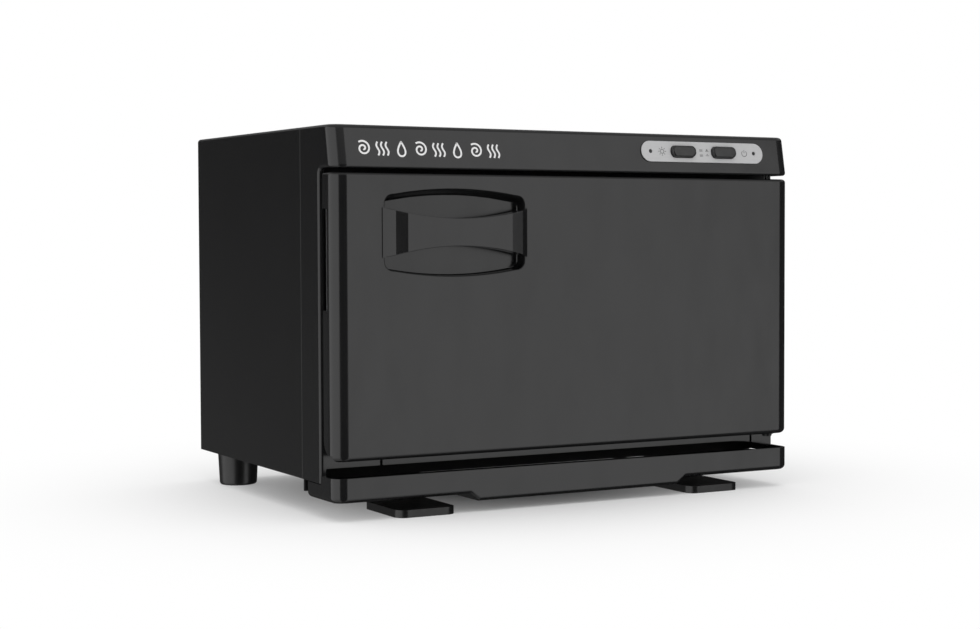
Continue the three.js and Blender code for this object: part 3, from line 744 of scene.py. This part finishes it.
def tray():
    """A shallow tray whose underside is lower in the middle and rounded at its edges."""
    lip, under, r = tray_high.z, 22.2, 3.5
    breaks = [-80, -73.5, 79, 86]

    def lift(x):
        """How far the underside is above its lowest part."""
        a, b, c, d = breaks
        rise = max((b - x) / (b - a), (x - c) / (d - c), 0.0)
        return TRAY_RISE * min(1.0, rise)

    def ring(z, inset, share):
        """Plan outline with points where the underside changes height."""
        side, corner = HALF - inset, 9 - inset
        front, rear = FRONT + inset, TRAY_REAR - inset
        plan = arc((-side + corner, front + corner), corner, 180, 270, 12)
        plan += [(x, front) for x in breaks]
        plan += arc((side - corner, front + corner), corner, 270, 360, 12)
        corner = 5 - inset
        plan += arc((side - corner, rear - corner), corner, 0, 90, 12)
        plan += [(x, rear) for x in reversed(breaks)]
        plan += arc((-side + corner, rear - corner), corner, 90, 180, 12)
        return [(x, y, z + share * lift(x)) for x, y in plan]

    rings = [ring(TRAY_LOW + r - r * math.cos(t), r - r * math.sin(t), 1) for t in QUARTER]
    bm = loft([*rings, ring(lip, 0, 0)])
    flat = [f for f in bm.faces if len(f.verts) > 4]
    bottom = min(flat, key=lambda f: f.calc_center_median().z)
    under_verts = list(bottom.verts)
    for x in breaks:
        ends = []
        for y in (FRONT + r, TRAY_REAR - r):
            ends.append(min(under_verts, key=lambda v: abs(v.co.x - x) + abs(v.co.y - y)))
        bmesh.ops.connect_verts(bm, verts=ends)
    bowl_floor = 14.8
    low, high = (-HALF + WALL, FRONT + WALL), (HALF - WALL, TRAY_REAR - WALL)
    bowl = extrude(rounded(low, high, (6.5, 6.5, 2.5, 2.5)), "z", bowl_floor, lip + 2)
    round_edges(bowl, 2.0, 4, lambda p: near(p.z, bowl_floor))
    well = block((-71, 76), (FRONT + 4, TRAY_REAR - 5), (TRAY_LOW + WALL, 16))
    round_edges(well, 1.5, 3, lambda p: near(p.z, TRAY_LOW + WALL))
    notches = [
        block(sorted((side * 136, side * (HALF - 5))), (15, TRAY_REAR + 1), (18.4, lip))
        for side in (-1, 1)
    ]
    rear_step = block((-HALF - 1, HALF + 1), (-0.8, TRAY_REAR + 1), (under, lip + 1))
    bm = cut(bm, rear_step, bowl, well, *notches)
    lips = [
        block(sorted((side * 160, side * (HALF - 1))), (0, TRAY_REAR - 4), (20.6, under))
        for side in (-1, 1)
    ]
    bm = join(bm, *lips)
    add_piece("tray_moulding", bm, "drip_tray", edges=(0.35, 2))


def control_panel():
    outline = rounded((50.8, 6.0), (151.4, 20.4), 7.1, 14)
    bm = extrude(outline, "z", GAP, PLATE_TOP)
    bm = cut(bm, *control_holes(-1, 3))
    round_edges(bm, 0.25, 3)
    add_piece("control_fascia", on_header(bm), "control_plate")


def button(key):
    """A push button with a rounded rim and a faintly dished top."""
    u = BUTTON_U[key]
    top = 4.0
    levels = [(-2.0, 0), (2.7, 0), (3.3, -0.15), (3.7, -0.5), (3.93, -0.95), (top, -1.5), (top - 0.06, -2.2)]
    bm = loft([raised(capsule(u, by, 10), w) for w, by in levels])
    stem = block((u - 3, u + 3), (CONTROL_LINE - 2.5, CONTROL_LINE + 2.5), (-12, -1.5))
    bm = join(bm, stem)
    add_piece(f"{key}_button_cap", on_header(bm), f"{key}_button")


def indicator(key):
    low, high = -6.6, PLATE_TOP + 0.3
    r = LENS_RADIUS
    profile = [(0, low), (r, low), (r, high - 0.35), (r * 0.8, high - 0.1), (r * 0.4, high), (0, high)]
    bm = turned(profile, (LENS_U[key], CONTROL_LINE), 28)
    add_piece(f"{key}_indicator", on_header(bm), f"{key}_indicator_lens")


# Flat symbols, drawn as strokes in the plane of the header.


def stroke(points, pen, closed=False):
    """A flat ribbon along points, as a thin solid. A pen is its width, underside and top."""
    width, low, high = pen
    count = len(points)
    rings = []
    for i, (u, v) in enumerate(points):
        before = points[i - 1] if closed or i else points[i]
        after = points[(i + 1) % count] if closed or i < count - 1 else points[i]
        du, dv = after[0] - before[0], after[1] - before[1]
        size = math.hypot(du, dv) or 1.0
        nu, nv = -dv / size * width / 2, du / size * width / 2
        a, b = (u + nu, v + nv), (u - nu, v - nv)
        rings.append([(*a, low), (*b, low), (*b, high), (*a, high)])
    return loft(rings, closed=closed)


def merged(shapes):
    """Several separate shapes as one mesh."""
    result = bmesh.new()
    for shape in shapes:
        mesh = bpy.data.meshes.new("part")
        shape.to_mesh(mesh)
        shape.free()
        result.from_mesh(mesh)
        bpy.data.meshes.remove(mesh)
    return result


def towel_roll(u, v, size, pen):
    """A rolled towel seen from its end."""
    turns = 1.6
    steps = 64
    points = []
    for i in range(steps + 1):
        share = i / steps
        radius = size * (0.12 + 0.88 * share)
        angle = 2 * math.pi * turns * share - 0.5 * math.pi
        points.append((u + radius * math.cos(angle), v + radius * math.sin(angle)))
    return [stroke(points, pen)]


def steam(u, v, size, pen):
    """Three rising waves."""
    waves = []
    for k in (-1, 0, 1):
        points = []
        for i in range(25):
            t = i / 24
            sway = 0.2 * size * math.sin(2 * math.pi * t)
            points.append((u + k * size * 0.72 + sway, v + size * (2 * t - 1)))
        waves.append(stroke(points, pen))
    return waves


def drop(u, v, size, pen):
    points = []
    for i in range(40):
        t = 2 * math.pi * i / 40
        points.append((u + size * 0.72 * math.sin(t) * math.sin(t / 2) ** 1.2, v + size * 0.95 * math.cos(t)))
    return [stroke(points, pen, closed=True)]


def sun(u, v, size, pen):
    shapes = [stroke(circle((u, v), size * 0.45, 28), pen, closed=True)]
    for i in range(8):
        angle = math.pi * i / 4
        points = [(u + r * math.cos(angle), v + r * math.sin(angle)) for r in (size * 0.68, size)]
        shapes.append(stroke(points, pen))
    return shapes


def power_mark(u, v, size, pen):
    bar = [(u, v + size * 0.15), (u, v + size * 1.2)]
    return [stroke(arc((u, v), size, 125, 415, 30), pen), stroke(bar, pen)]


def triangle(u, v, size, low, high):
    outline = [(u - size, v - size * 0.6), (u + size, v - size * 0.6), (u, v + size * 0.7)]
    return extrude(outline, "z", low, high)


def header_print():
    """White symbols along the header: rolled towels, rising steam and drops."""
    pen = (1.15, 0.004, 0.05)
    line = 10.6
    start, end = -153.5, -62.0
    drawings = [towel_roll, steam, drop, towel_roll, steam, drop, towel_roll, steam]
    sizes = {towel_roll: 4.9, steam: 4.4, drop: 4.9}
    shapes = []
    for i, draw in enumerate(drawings):
        u = start + (end - start) * i / (len(drawings) - 1)
        shapes += draw(u, line, sizes[draw], pen)
    add_piece("header_symbols", on_header(merged(shapes)), "front_frame", WHITE_PRINT, stands_for=False)


def panel_print():
    """Small dark symbols beside the buttons."""
    low, high = PLATE_TOP + 0.004, PLATE_TOP + 0.04
    line = CONTROL_LINE
    pen = (0.42, low, high)
    shapes = sun(67.3, line, 3.1, pen) + power_mark(135.6, line - 0.2, 2.1, pen)
    for v in (line + 1.6, line - 2.0):
        shapes.append(stroke([(98.0, v), (100.6, v)], (0.55, low, high)))
        shapes.append(stroke([(98.0, v - 0.9), (100.6, v - 0.9)], (0.3, low, high)))
    shapes.append(triangle(104.2, line + 1.7, 0.95, low, high))
    shapes.append(triangle(104.2, line - 1.5, 0.6, low, high))
    for v in (line + 0.6, line - 2.4):
        shapes.append(stroke([(102.9, v), (105.6, v)], (0.32, low, high)))
    add_piece("panel_symbols", on_header(merged(shapes)), "control_plate", DARK_PRINT, stands_for=False)


# Feet, screws and the back.


def front_foot(name, side):
    x = sorted((side * 90.0, side * 131.5))
    under = BASE - GAP
    rear = (TRAY_REAR + 0.6, TRAY_REAR + 5.6)
    slab = extrude(rounded((x[0], -23), (x[1], rear[1]), (7, 7, 4, 4), 10), "z", 0, 5)
    inner = (x[0] + 4, x[1] - 4)
    bm = join(slab, block(inner, rear, (0.5, under)), block(inner, (rear[0], 48), (19.4, under)))
    bm = cut(bm, extrude(circle(beside(FRONT_SCREW, side), 1.9, 20), "z", 10, 30))
    add_piece(f"{name}_moulding", bm, name, edges=(0.7, 3))


def rear_foot(name, side):
    under = BASE - GAP
    profile = [(11.2, 0.0), (12.0, 0.15), (12.7, 0.6), (13.1, 1.4), (13.25, 2.4)]
    profile += [(13.25 + 0.95 * t / 6, 2.4 + (under - 3.6) * t / 6) for t in range(1, 7)]
    profile += [(14.3, under - 0.6), (14.1, under - 0.15), (13.7, under), (2.2, under), (2.0, under - 0.3)]
    profile += [(2.0, 10.3), (2.3, 10.0), (4.9, 10.0), (5.2, 9.7), (5.2, 0.5), (5.7, 0.0), (11.2, 0.0)]
    add_piece(f"{name}_moulding", turned(profile, beside(REAR_SCREW, side), 56), name)


def cross_recess(bm, arm, span):
    """Cuts a screw's cross recess, arm long each way, over a span of heights."""
    wide = 0.45
    return cut(bm, block((-arm, arm), (-wide, wide), span), block((-wide, wide), (-arm, arm), span))


def rear_screw(index):
    x, _, z = centre_of(f"rear_screw_{index}")
    head = 2.0
    profile = [(0, -9), (1.2, -8.4), (1.5, -7.6), (1.5, 0), (3.0, 0), (3.2, 0.25), (3.1, 0.9), (2.5, 1.6)]
    profile += [(1.5, 1.95), (0, head)]
    bm = cross_recess(turned(profile, (0, 0), 28), 1.9, (head - 1.2, head + 1))
    seat = depths(f"rear_screw_{index}")[1] - head
    bm.transform(Matrix.Translation((x, seat, z)) @ Matrix.Rotation(-math.pi / 2, 4, "X"))
    add_piece(f"rear_screw_head_{index}", bm, f"rear_screw_{index}")


def foot_screw(name, centre, seat):
    profile = [(0, seat - 2.4), (2.6, seat - 2.4), (3.5, seat - 1.8), (4.0, seat - 0.9), (4.0, seat)]
    profile += [(1.6, seat), (1.6, 27.6), (1.2, 28), (0, 28)]
    bm = turned([(r, z - seat) for r, z in profile], (0, 0), 28)
    bm = cross_recess(bm, 2, (-3.4, -1.3))
    bm.transform(Matrix.Translation((*centre, seat)))
    add_piece(f"{name}_head", bm, name)


def back_panel():
    low, high = node_box("rear_panel")
    front, rear = depths("rear_panel")
    through = (front - 2, rear + 2)
    cx, _, cz = centre_of("power_inlet")
    bm = extrude(rounded((low.x, low.z), (high.x, high.z), (0.6, 0.6, 2, 2), 4), "y", front, rear)
    outlines = [rounded((cx - 13.8, cz - 10.3), (cx + 13.8, cz + 10.3), 1.2, 4)]
    for i in range(1, 5):
        x, _, z = centre_of(f"rear_screw_{i}")
        outlines.append(circle((x, z), 1.9, 20))
    outlines += [rounded((x - 2, 186), (x + 2, 222), 1.95, 6) for x in range(-60, 61, 10)]
    bm = cut(bm, *(extrude(outline, "y", *through) for outline in outlines))
    add_piece("back_sheet", bm, "rear_panel", BACK_PAINTED_LIGHTER, edges=(0.25, 2))


def inlet():
    low, high = node_box("power_inlet")
    front, rear = depths("power_inlet")
    cx, _, cz = centre_of("power_inlet")
    flange = rear - 1.8
    bm = join(
        extrude(rounded((cx - 13.5, cz - 10), (cx + 13.5, cz + 10), 1.0, 3), "y", front, flange + 1),
        extrude(rounded((low.x, low.z), (high.x, high.z), 3, 6), "y", flange, rear),
    )
    chamfer = 4.0
    left, right, top = cx - 12, cx + 12, cz + 8
    mouth = [(left, cz - 8), (right, cz - 8), (right, top - chamfer), (right - chamfer, top)]
    mouth += [(left + chamfer, top), (left, top - chamfer)]
    pins = []
    for name in ("line", "neutral", "earth"):
        a, b = node_box(f"inlet_pin_{name}")
        pins.append(block((a.x - GAP, b.x + GAP), (front - 2, front + 8), (a.z - GAP, b.z + GAP)))
    bm = cut(bm, extrude(mouth, "y", front + 6, rear + 5), *pins)
    add_piece("inlet_housing", bm, "power_inlet", edges=(0.4, 3))


def inlet_pin(name):
    node = f"inlet_pin_{name}"
    bm = node_block(node)
    rear = depths(node)[1]
    round_edges(bm, 0.6, 3, lambda p: near(p.y, rear))
    add_piece(f"inlet_blade_{name}", bm, node, edges=(0.15, 2))


# The chamber and what is in it.


def ring_at(y, low, high, radius, by=0.0):
    """A rounded rectangle facing the front, grown by an amount."""
    corners = (low[0] - by, low[1] - by), (high[0] + by, high[1] + by)
    return facing(rounded(*corners, max(radius + by, 0.2), 6), y)


def chamber():
    mouth = ((-MOUTH, CHAMBER[0]), (MOUTH, CHAMBER[1]), 4.0)
    flange = ((-148.0, 50.0), (148.0, 220.0), 3.0)
    front, back = RECESS + 3 + GAP, CHAMBER_BACK
    levels = [(back, -3.9), (back - 0.5, -2.2), (back - 1.6, -0.9), (back - 3.8, 0)]
    levels += [(front + 1.0, 0), (front + 0.3, 0.3), (front, 1.0)]
    rings = [ring_at(y, *mouth, by) for y, by in levels]
    rings += [ring_at(front, *flange), ring_at(front + 1, *flange)]
    levels = [(front + 1, 1.9), (front + 1.6, 1.0), (back - 3, 1.0), (back + 1, -2.0)]
    rings += [ring_at(y, *mouth, by) for y, by in levels]
    add_piece("chamber_sheet", loft(rings), "chamber_liner")


def inner_panel():
    """The door's inner sheet: a flange, a raised field and a shallow pressed panel."""
    front, rear = depths("door_inner_panel")
    low, high = node_box("door_inner_panel")
    field = ((-155.0, 55.0), (155.0, 215.0), 8)
    flange = ((low.x, low.z), (high.x, high.z), 3)
    rim = front + SHEET
    levels = [(rear - 0.9, -27), (rear - 0.8, -26), (rear - 0.15, -24.4), (rear, -23.6), (rear, -2.4)]
    levels += [(rear - 0.7, -0.8), (rear - 2.2, 0), (rim, 0)]
    rings = [ring_at(y, *field, by) for y, by in levels]
    rings += [ring_at(y, *flange, by) for y, by in [(rim, -0.2), (rim - 0.2, 0), (front, 0)]]
    rings += [ring_at(y, *field, by) for y, by in [(front, -SHEET), (rear - SHEET, -SHEET - 0.2)]]
    add_piece("door_inner_sheet", loft(rings), "door_inner_panel")


def seal():
    """The door's seal: a soft bead on a flat base, run round the mouth."""
    front, rear = depths("door_gasket")
    low, high = (-MOUTH - 1.5, CHAMBER[0] - 1.3), (MOUTH + 1.5, CHAMBER[1] + 1.3)
    section = [(0.0, front), (0.0, front + 1.2), (0.9, front + 1.6), (0.9, front + 2.6)]
    section += [(0.9 + 1.6 - 1.6 * math.cos(t), rear - 1.6 + 1.6 * math.sin(t)) for t in (0.4, 0.9, 1.5708)]
    section += [(4.1 - 1.6 + 1.6 * math.sin(t), rear - 1.6 + 1.6 * math.cos(t)) for t in (0.6, 1.1)]
    section += [(4.1, front + 2.6), (4.1, front + 1.6), (5.0, front + 1.2), (5.0, front)]
    rings = [ring_at(y, low, high, 2.5, by) for by, y in section]
    add_piece("door_seal", loft(rings, closed=True), "door_gasket")


def rack():
    border_z = node_box("wire_rack")[0].z + 1.6 * math.cos(math.pi / 6)
    x, front, rear = 128.0, 26.0, 174.0
    outline = rounded((-x, front), (x, rear), 8, 8)
    shapes = [wire(raised(outline, border_z), 1.6, 14, closed=True)]
    for i in range(11):
        u = (i - 5) * 21
        ends = (front - 1.9, front - 1.2, rear + 1.2, rear + 1.9)
        shapes.append(wire([(u, y, border_z + 2.1) for y in ends], 1.15, 12))
    add_piece("rack_wires", merged(shapes), "wire_rack", crisp=60)


def rail(side, name):
    wall = MOUTH - GAP
    outline = [(wall, 72), (wall, 82), (wall - 8, 82), (wall - 8, 81), (wall - 1, 81), (wall - 1, 72)]
    if side < 0:
        outline = mirrored(outline)
    bm = extrude(outline, "y", 20, 180)
    add_piece(f"rack_rail_{name}_strip", bm, f"rack_rail_{name}", edges=(0.3, 3))


def lamp():
    centre = centre_of("uv_tube")[1:]
    half, r = node_box("uv_tube")[1].x, 7.4

    def sleeve(x0, x1, radius, soft):
        profile = [(0, x0), (radius - soft, x0), (radius, x0 + soft), (radius, x1 - soft)]
        profile += [(radius - soft, x1), (0, x1)]
        bm = turned(profile, (0, 0), 36)
        bm.transform(Matrix.Translation((0, *centre)) @ Matrix.Rotation(math.pi / 2, 4, "Y"))
        return bm

    add_piece("lamp_tube", sleeve(-half + 8, half - 8, r - 0.3, 0.8), "uv_tube")
    caps = merged([sleeve(-half, -half + 9, r, 0.5), sleeve(half - 9, half, r, 0.5)])
    add_piece("lamp_caps", caps, "uv_tube", LOOKS["bright_steel"], stands_for=False)


def socket(side, name):
    node = f"uv_socket_{name}"
    bm = node_block(node)
    bottom = node_box(node)[0].z
    round_edges(bm, 2.0, 4, lambda p: near(p.z, bottom))
    inner = 67.0
    span = sorted((side * (inner - 8), side * (inner + GAP)))
    bm = cut(bm, extrude(circle(centre_of("uv_tube")[1:], 7.8, 36), "x", *span))
    add_piece(f"lamp_holder_{name}", bm, node, edges=(0.4, 3))


# Hinge, runners and base.


def hinge_plate(name, outline):
    """A flat bracket with the pin's bore through it."""
    node = f"hinge_bracket_{name}"
    low, high = node_box(node)
    bm = cut(extrude(outline, "z", low.z, high.z), hinge_bore(low.z - 1, high.z + 1))
    add_piece(f"hinge_plate_{name}", bm, node, edges=(0.3, 2))


def hinge_plates():
    outline = arc((HINGE_X, HINGE_Y), 4.4, 180, 360, 18)
    outline += [(HINGE_X + 4.4, HINGE_Y + 3), (HINGE_X + 1.5, HINGE_Y + 6), (HINGE_X + 1.5, RECESS - GAP)]
    outline += [(HINGE_X - 4.4, RECESS - GAP)]
    hinge_plate("lower", outline)
    low, high = node_box("hinge_bracket_upper")
    front, rear = depths("hinge_bracket_upper")
    hinge_plate("upper", rounded((low.x, front), (high.x, rear), 1.5, 4))


def hinge_pin(name, head, head_up):
    """A headed pin: a chamfered head, then a thinner shank with a tapered end."""
    low, high = node_box(name)
    length = high.z - low.z
    profile = [(0, 0), (3.0, 0), (3.4, 0.4), (3.4, head), (2, head)]
    profile += [(2, length - 0.5), (1.5, length), (0, length)]
    if head_up:
        profile = [(r, high.z - z) for r, z in reversed(profile)]
    else:
        profile = [(r, low.z + z) for r, z in profile]
    add_piece(f"{name}_turned", turned(profile, (HINGE_X, HINGE_Y), 32), name)


def runner(side, name):
    under = BASE - GAP
    outline = [(138, under), (138, under - 1.3), (150, under - 1.3), (150, 18.9), (168, 18.9), (168, 20.2)]
    outline += [(151.3, 20.2), (151.3, under)]
    outline = outline if side > 0 else mirrored(outline)
    stop = block(sorted((side * 129, side * 174.8)), (27, 29), (15, under))
    bm = join(extrude(outline, "y", 0.5, 29), stop)
    add_piece(f"tray_rail_{name}", bm, f"tray_runner_{name}", edges=(0.3, 2))


def pan():
    """The base: a folded sheet with upturned sides."""
    low, high = node_box("base_pan")
    front, rear = depths("base_pan")
    bm = node_block("base_pan")
    round_edges(bm, 2.0, 5, lambda p: near(p.z, low.z) and near(abs(p.x), high.x, 0.05))
    inside = block((low.x + SHEET, high.x - SHEET), (front - 1, rear + 1), (low.z + SHEET, high.z + 1))
    holes = [
        extrude(circle(beside(place, side), 2.0, 20), "z", low.z - 1, low.z + 3)
        for side in (-1, 1)
        for place in (REAR_SCREW, FRONT_SCREW)
    ]
    bm = cut(bm, inside, *holes)
    add_piece("base_sheet", bm, "base_pan", edges=(0.25, 2))


def build():
    case()
    moulding()
    door_shell()
    handle()
    tray()
    control_panel()
    for key in ("uv", "power"):
        button(key)
        indicator(key)
    header_print()
    panel_print()
    back_panel()
    inlet()
    for name in ("line", "neutral", "earth"):
        inlet_pin(name)
    for index in range(1, 5):
        rear_screw(index)
    chamber()
    inner_panel()
    seal()
    rack()
    lamp()
    for side, name in ((-1, "left"), (1, "right")):
        front_foot(f"front_foot_{name}", side)
        rear_foot(f"rear_foot_{name}", side)
        foot_screw(f"front_foot_screw_{name}", beside(FRONT_SCREW, side), 19.1)
        foot_screw(f"rear_foot_screw_{name}", beside(REAR_SCREW, side), 9.7)
        rail(side, name)
        socket(side, name)
        runner(side, name)
    hinge_plates()
    hinge_pin("hinge_pin_upper", 1.4, True)
    hinge_pin("hinge_pin_lower", 1.2, False)
    add_piece("catch_block", node_block("magnet_catch"), "magnet_catch", edges=(0.6, 3))
    add_piece("strike_tab", node_block("strike_plate"), "strike_plate", edges=(0.3, 3))
    pan()
    for node, made in frame["nodes"].items():
        for slot in made.material_slots:
            slot.material = LOOKS[SLOT_OF[node]].material


# ---- Stage ----


def floor():
    """A pale round floor that glows more and more away from the cabinet. The glow is painted light: it
    lightens the cabinet's shadow on the floor and fades the floor to white.
    """
    bm = bmesh.new()
    bmesh.ops.create_circle(bm, cap_ends=True, segments=96, radius=14)
    made = mesh_object("floor", bm)
    look = Look("floor_with_painted_glow", (0.9, 0.9, 0.9), 0.85)
    look.set("Specular IOR Level", 0.1)
    from_middle = look.node("VectorMath", {0: look.place}, operation="LENGTH").outputs["Value"]
    fade = {"Value": from_middle, "From Min": 0.02, "From Max": 0.45}
    share = look.node("MapRange", fade, interpolation_type="SMOOTHSTEP").outputs["Result"]
    # Painted light: a white glow mixed into the floor, weakest under the cabinet, which lightens its shadow.
    white = look.node("Emission", {"Color": (1, 1, 1, 1)}).outputs[0]
    mix = look.node("MixShader", {0: share, 1: look.shader.outputs[0], 2: white})
    feed(look.tree, look.tree.nodes["Material Output"].inputs["Surface"], mix.outputs[0])
    made.data.materials.append(look.material)
    made.visible_glossy = False


def studio():
    """An even white room. Reflections see a wall to each side, a dim ceiling and a little of the floor."""
    world = bpy.data.worlds.new("studio")
    bpy.context.scene.world = world
    world.use_nodes = True
    tree = world.node_tree
    tree.nodes.clear()
    place = add_node(tree, "TexCoord").outputs["Generated"]
    parts = add_node(tree, "SeparateXYZ", {0: place}).outputs

    def combined(operation, first, second):
        return add_node(tree, "Math", {0: first, 1: second}, operation=operation).outputs[0]

    def ramp(value, start, end, low=0.0, high=1.0, kind="SMOOTHSTEP"):
        inputs = {0: value, 1: start, 2: end, 3: low, 4: high}
        return add_node(tree, "MapRange", inputs, interpolation_type=kind).outputs[0]

    leftwards, forwards = (combined("MULTIPLY", parts[axis], -1.0) for axis in "XY")
    bearing = combined("ARCTAN2", leftwards, forwards)
    height = parts["Z"]

    def wall(start, end, soft):
        """1 between two bearings from the front, positive to the left, in degrees."""
        rise = ramp(bearing, math.radians(start - soft), math.radians(start + soft))
        fall = ramp(bearing, math.radians(end + soft), math.radians(end - soft))
        return combined("MULTIPLY", rise, fall)

    walls = combined("ADD", wall(43, 130, 2), wall(-40, -17, 0.7))
    upright = combined("MULTIPLY", ramp(height, -0.75, -0.3, 0.5), ramp(height, 0.66, 0.48))
    ground = combined("MULTIPLY", wall(132, 175, 3), ramp(height, 0.05, -0.14, 0.0, 0.055, "LINEAR"))
    ceiling = ramp(height, 0.22, 0.5, 0.0, 0.35)
    seen = combined("ADD", combined("MULTIPLY", walls, upright), ground)
    strength = ramp(combined("MAXIMUM", seen, ceiling), 0.0, 1.0, 0.035, 1.35, "LINEAR")

    def light(value):
        return add_node(tree, "Background", {"Color": (1, 1, 1, 1), "Strength": value}).outputs[0]

    rays = add_node(tree, "LightPath").outputs
    room = add_node(tree, "MixShader", {0: rays["Is Camera Ray"], 1: light(0.72), 2: light(1.0)})
    whole = {0: rays["Is Glossy Ray"], 1: room.outputs[0], 2: light(strength)}
    add_node(tree, "OutputWorld", {"Surface": add_node(tree, "MixShader", whole).outputs[0]})
    lamp_data = bpy.data.lights.new("overhead", "SUN")
    lamp_data.energy = 1.15
    lamp_data.angle = math.radians(70)
    placed("overhead", lamp_data).visible_glossy = False
    bpy.context.scene.view_settings.view_transform = "Standard"


def camera():
    data = bpy.data.cameras.new("camera")
    data.sensor_width = 36.0
    data.lens = 70.68
    data.shift_x = -0.153
    data.shift_y = 0.0011
    data.clip_end = 60
    made = placed("camera", data)
    made.location = (-0.63917, (-1140.13 + OFFSET) * MM, 0.18307)
    made.rotation_euler = (math.pi / 2 - 0.044, 0, -0.552)
    bpy.context.scene.camera = made


camera()
build()
floor()
studio()
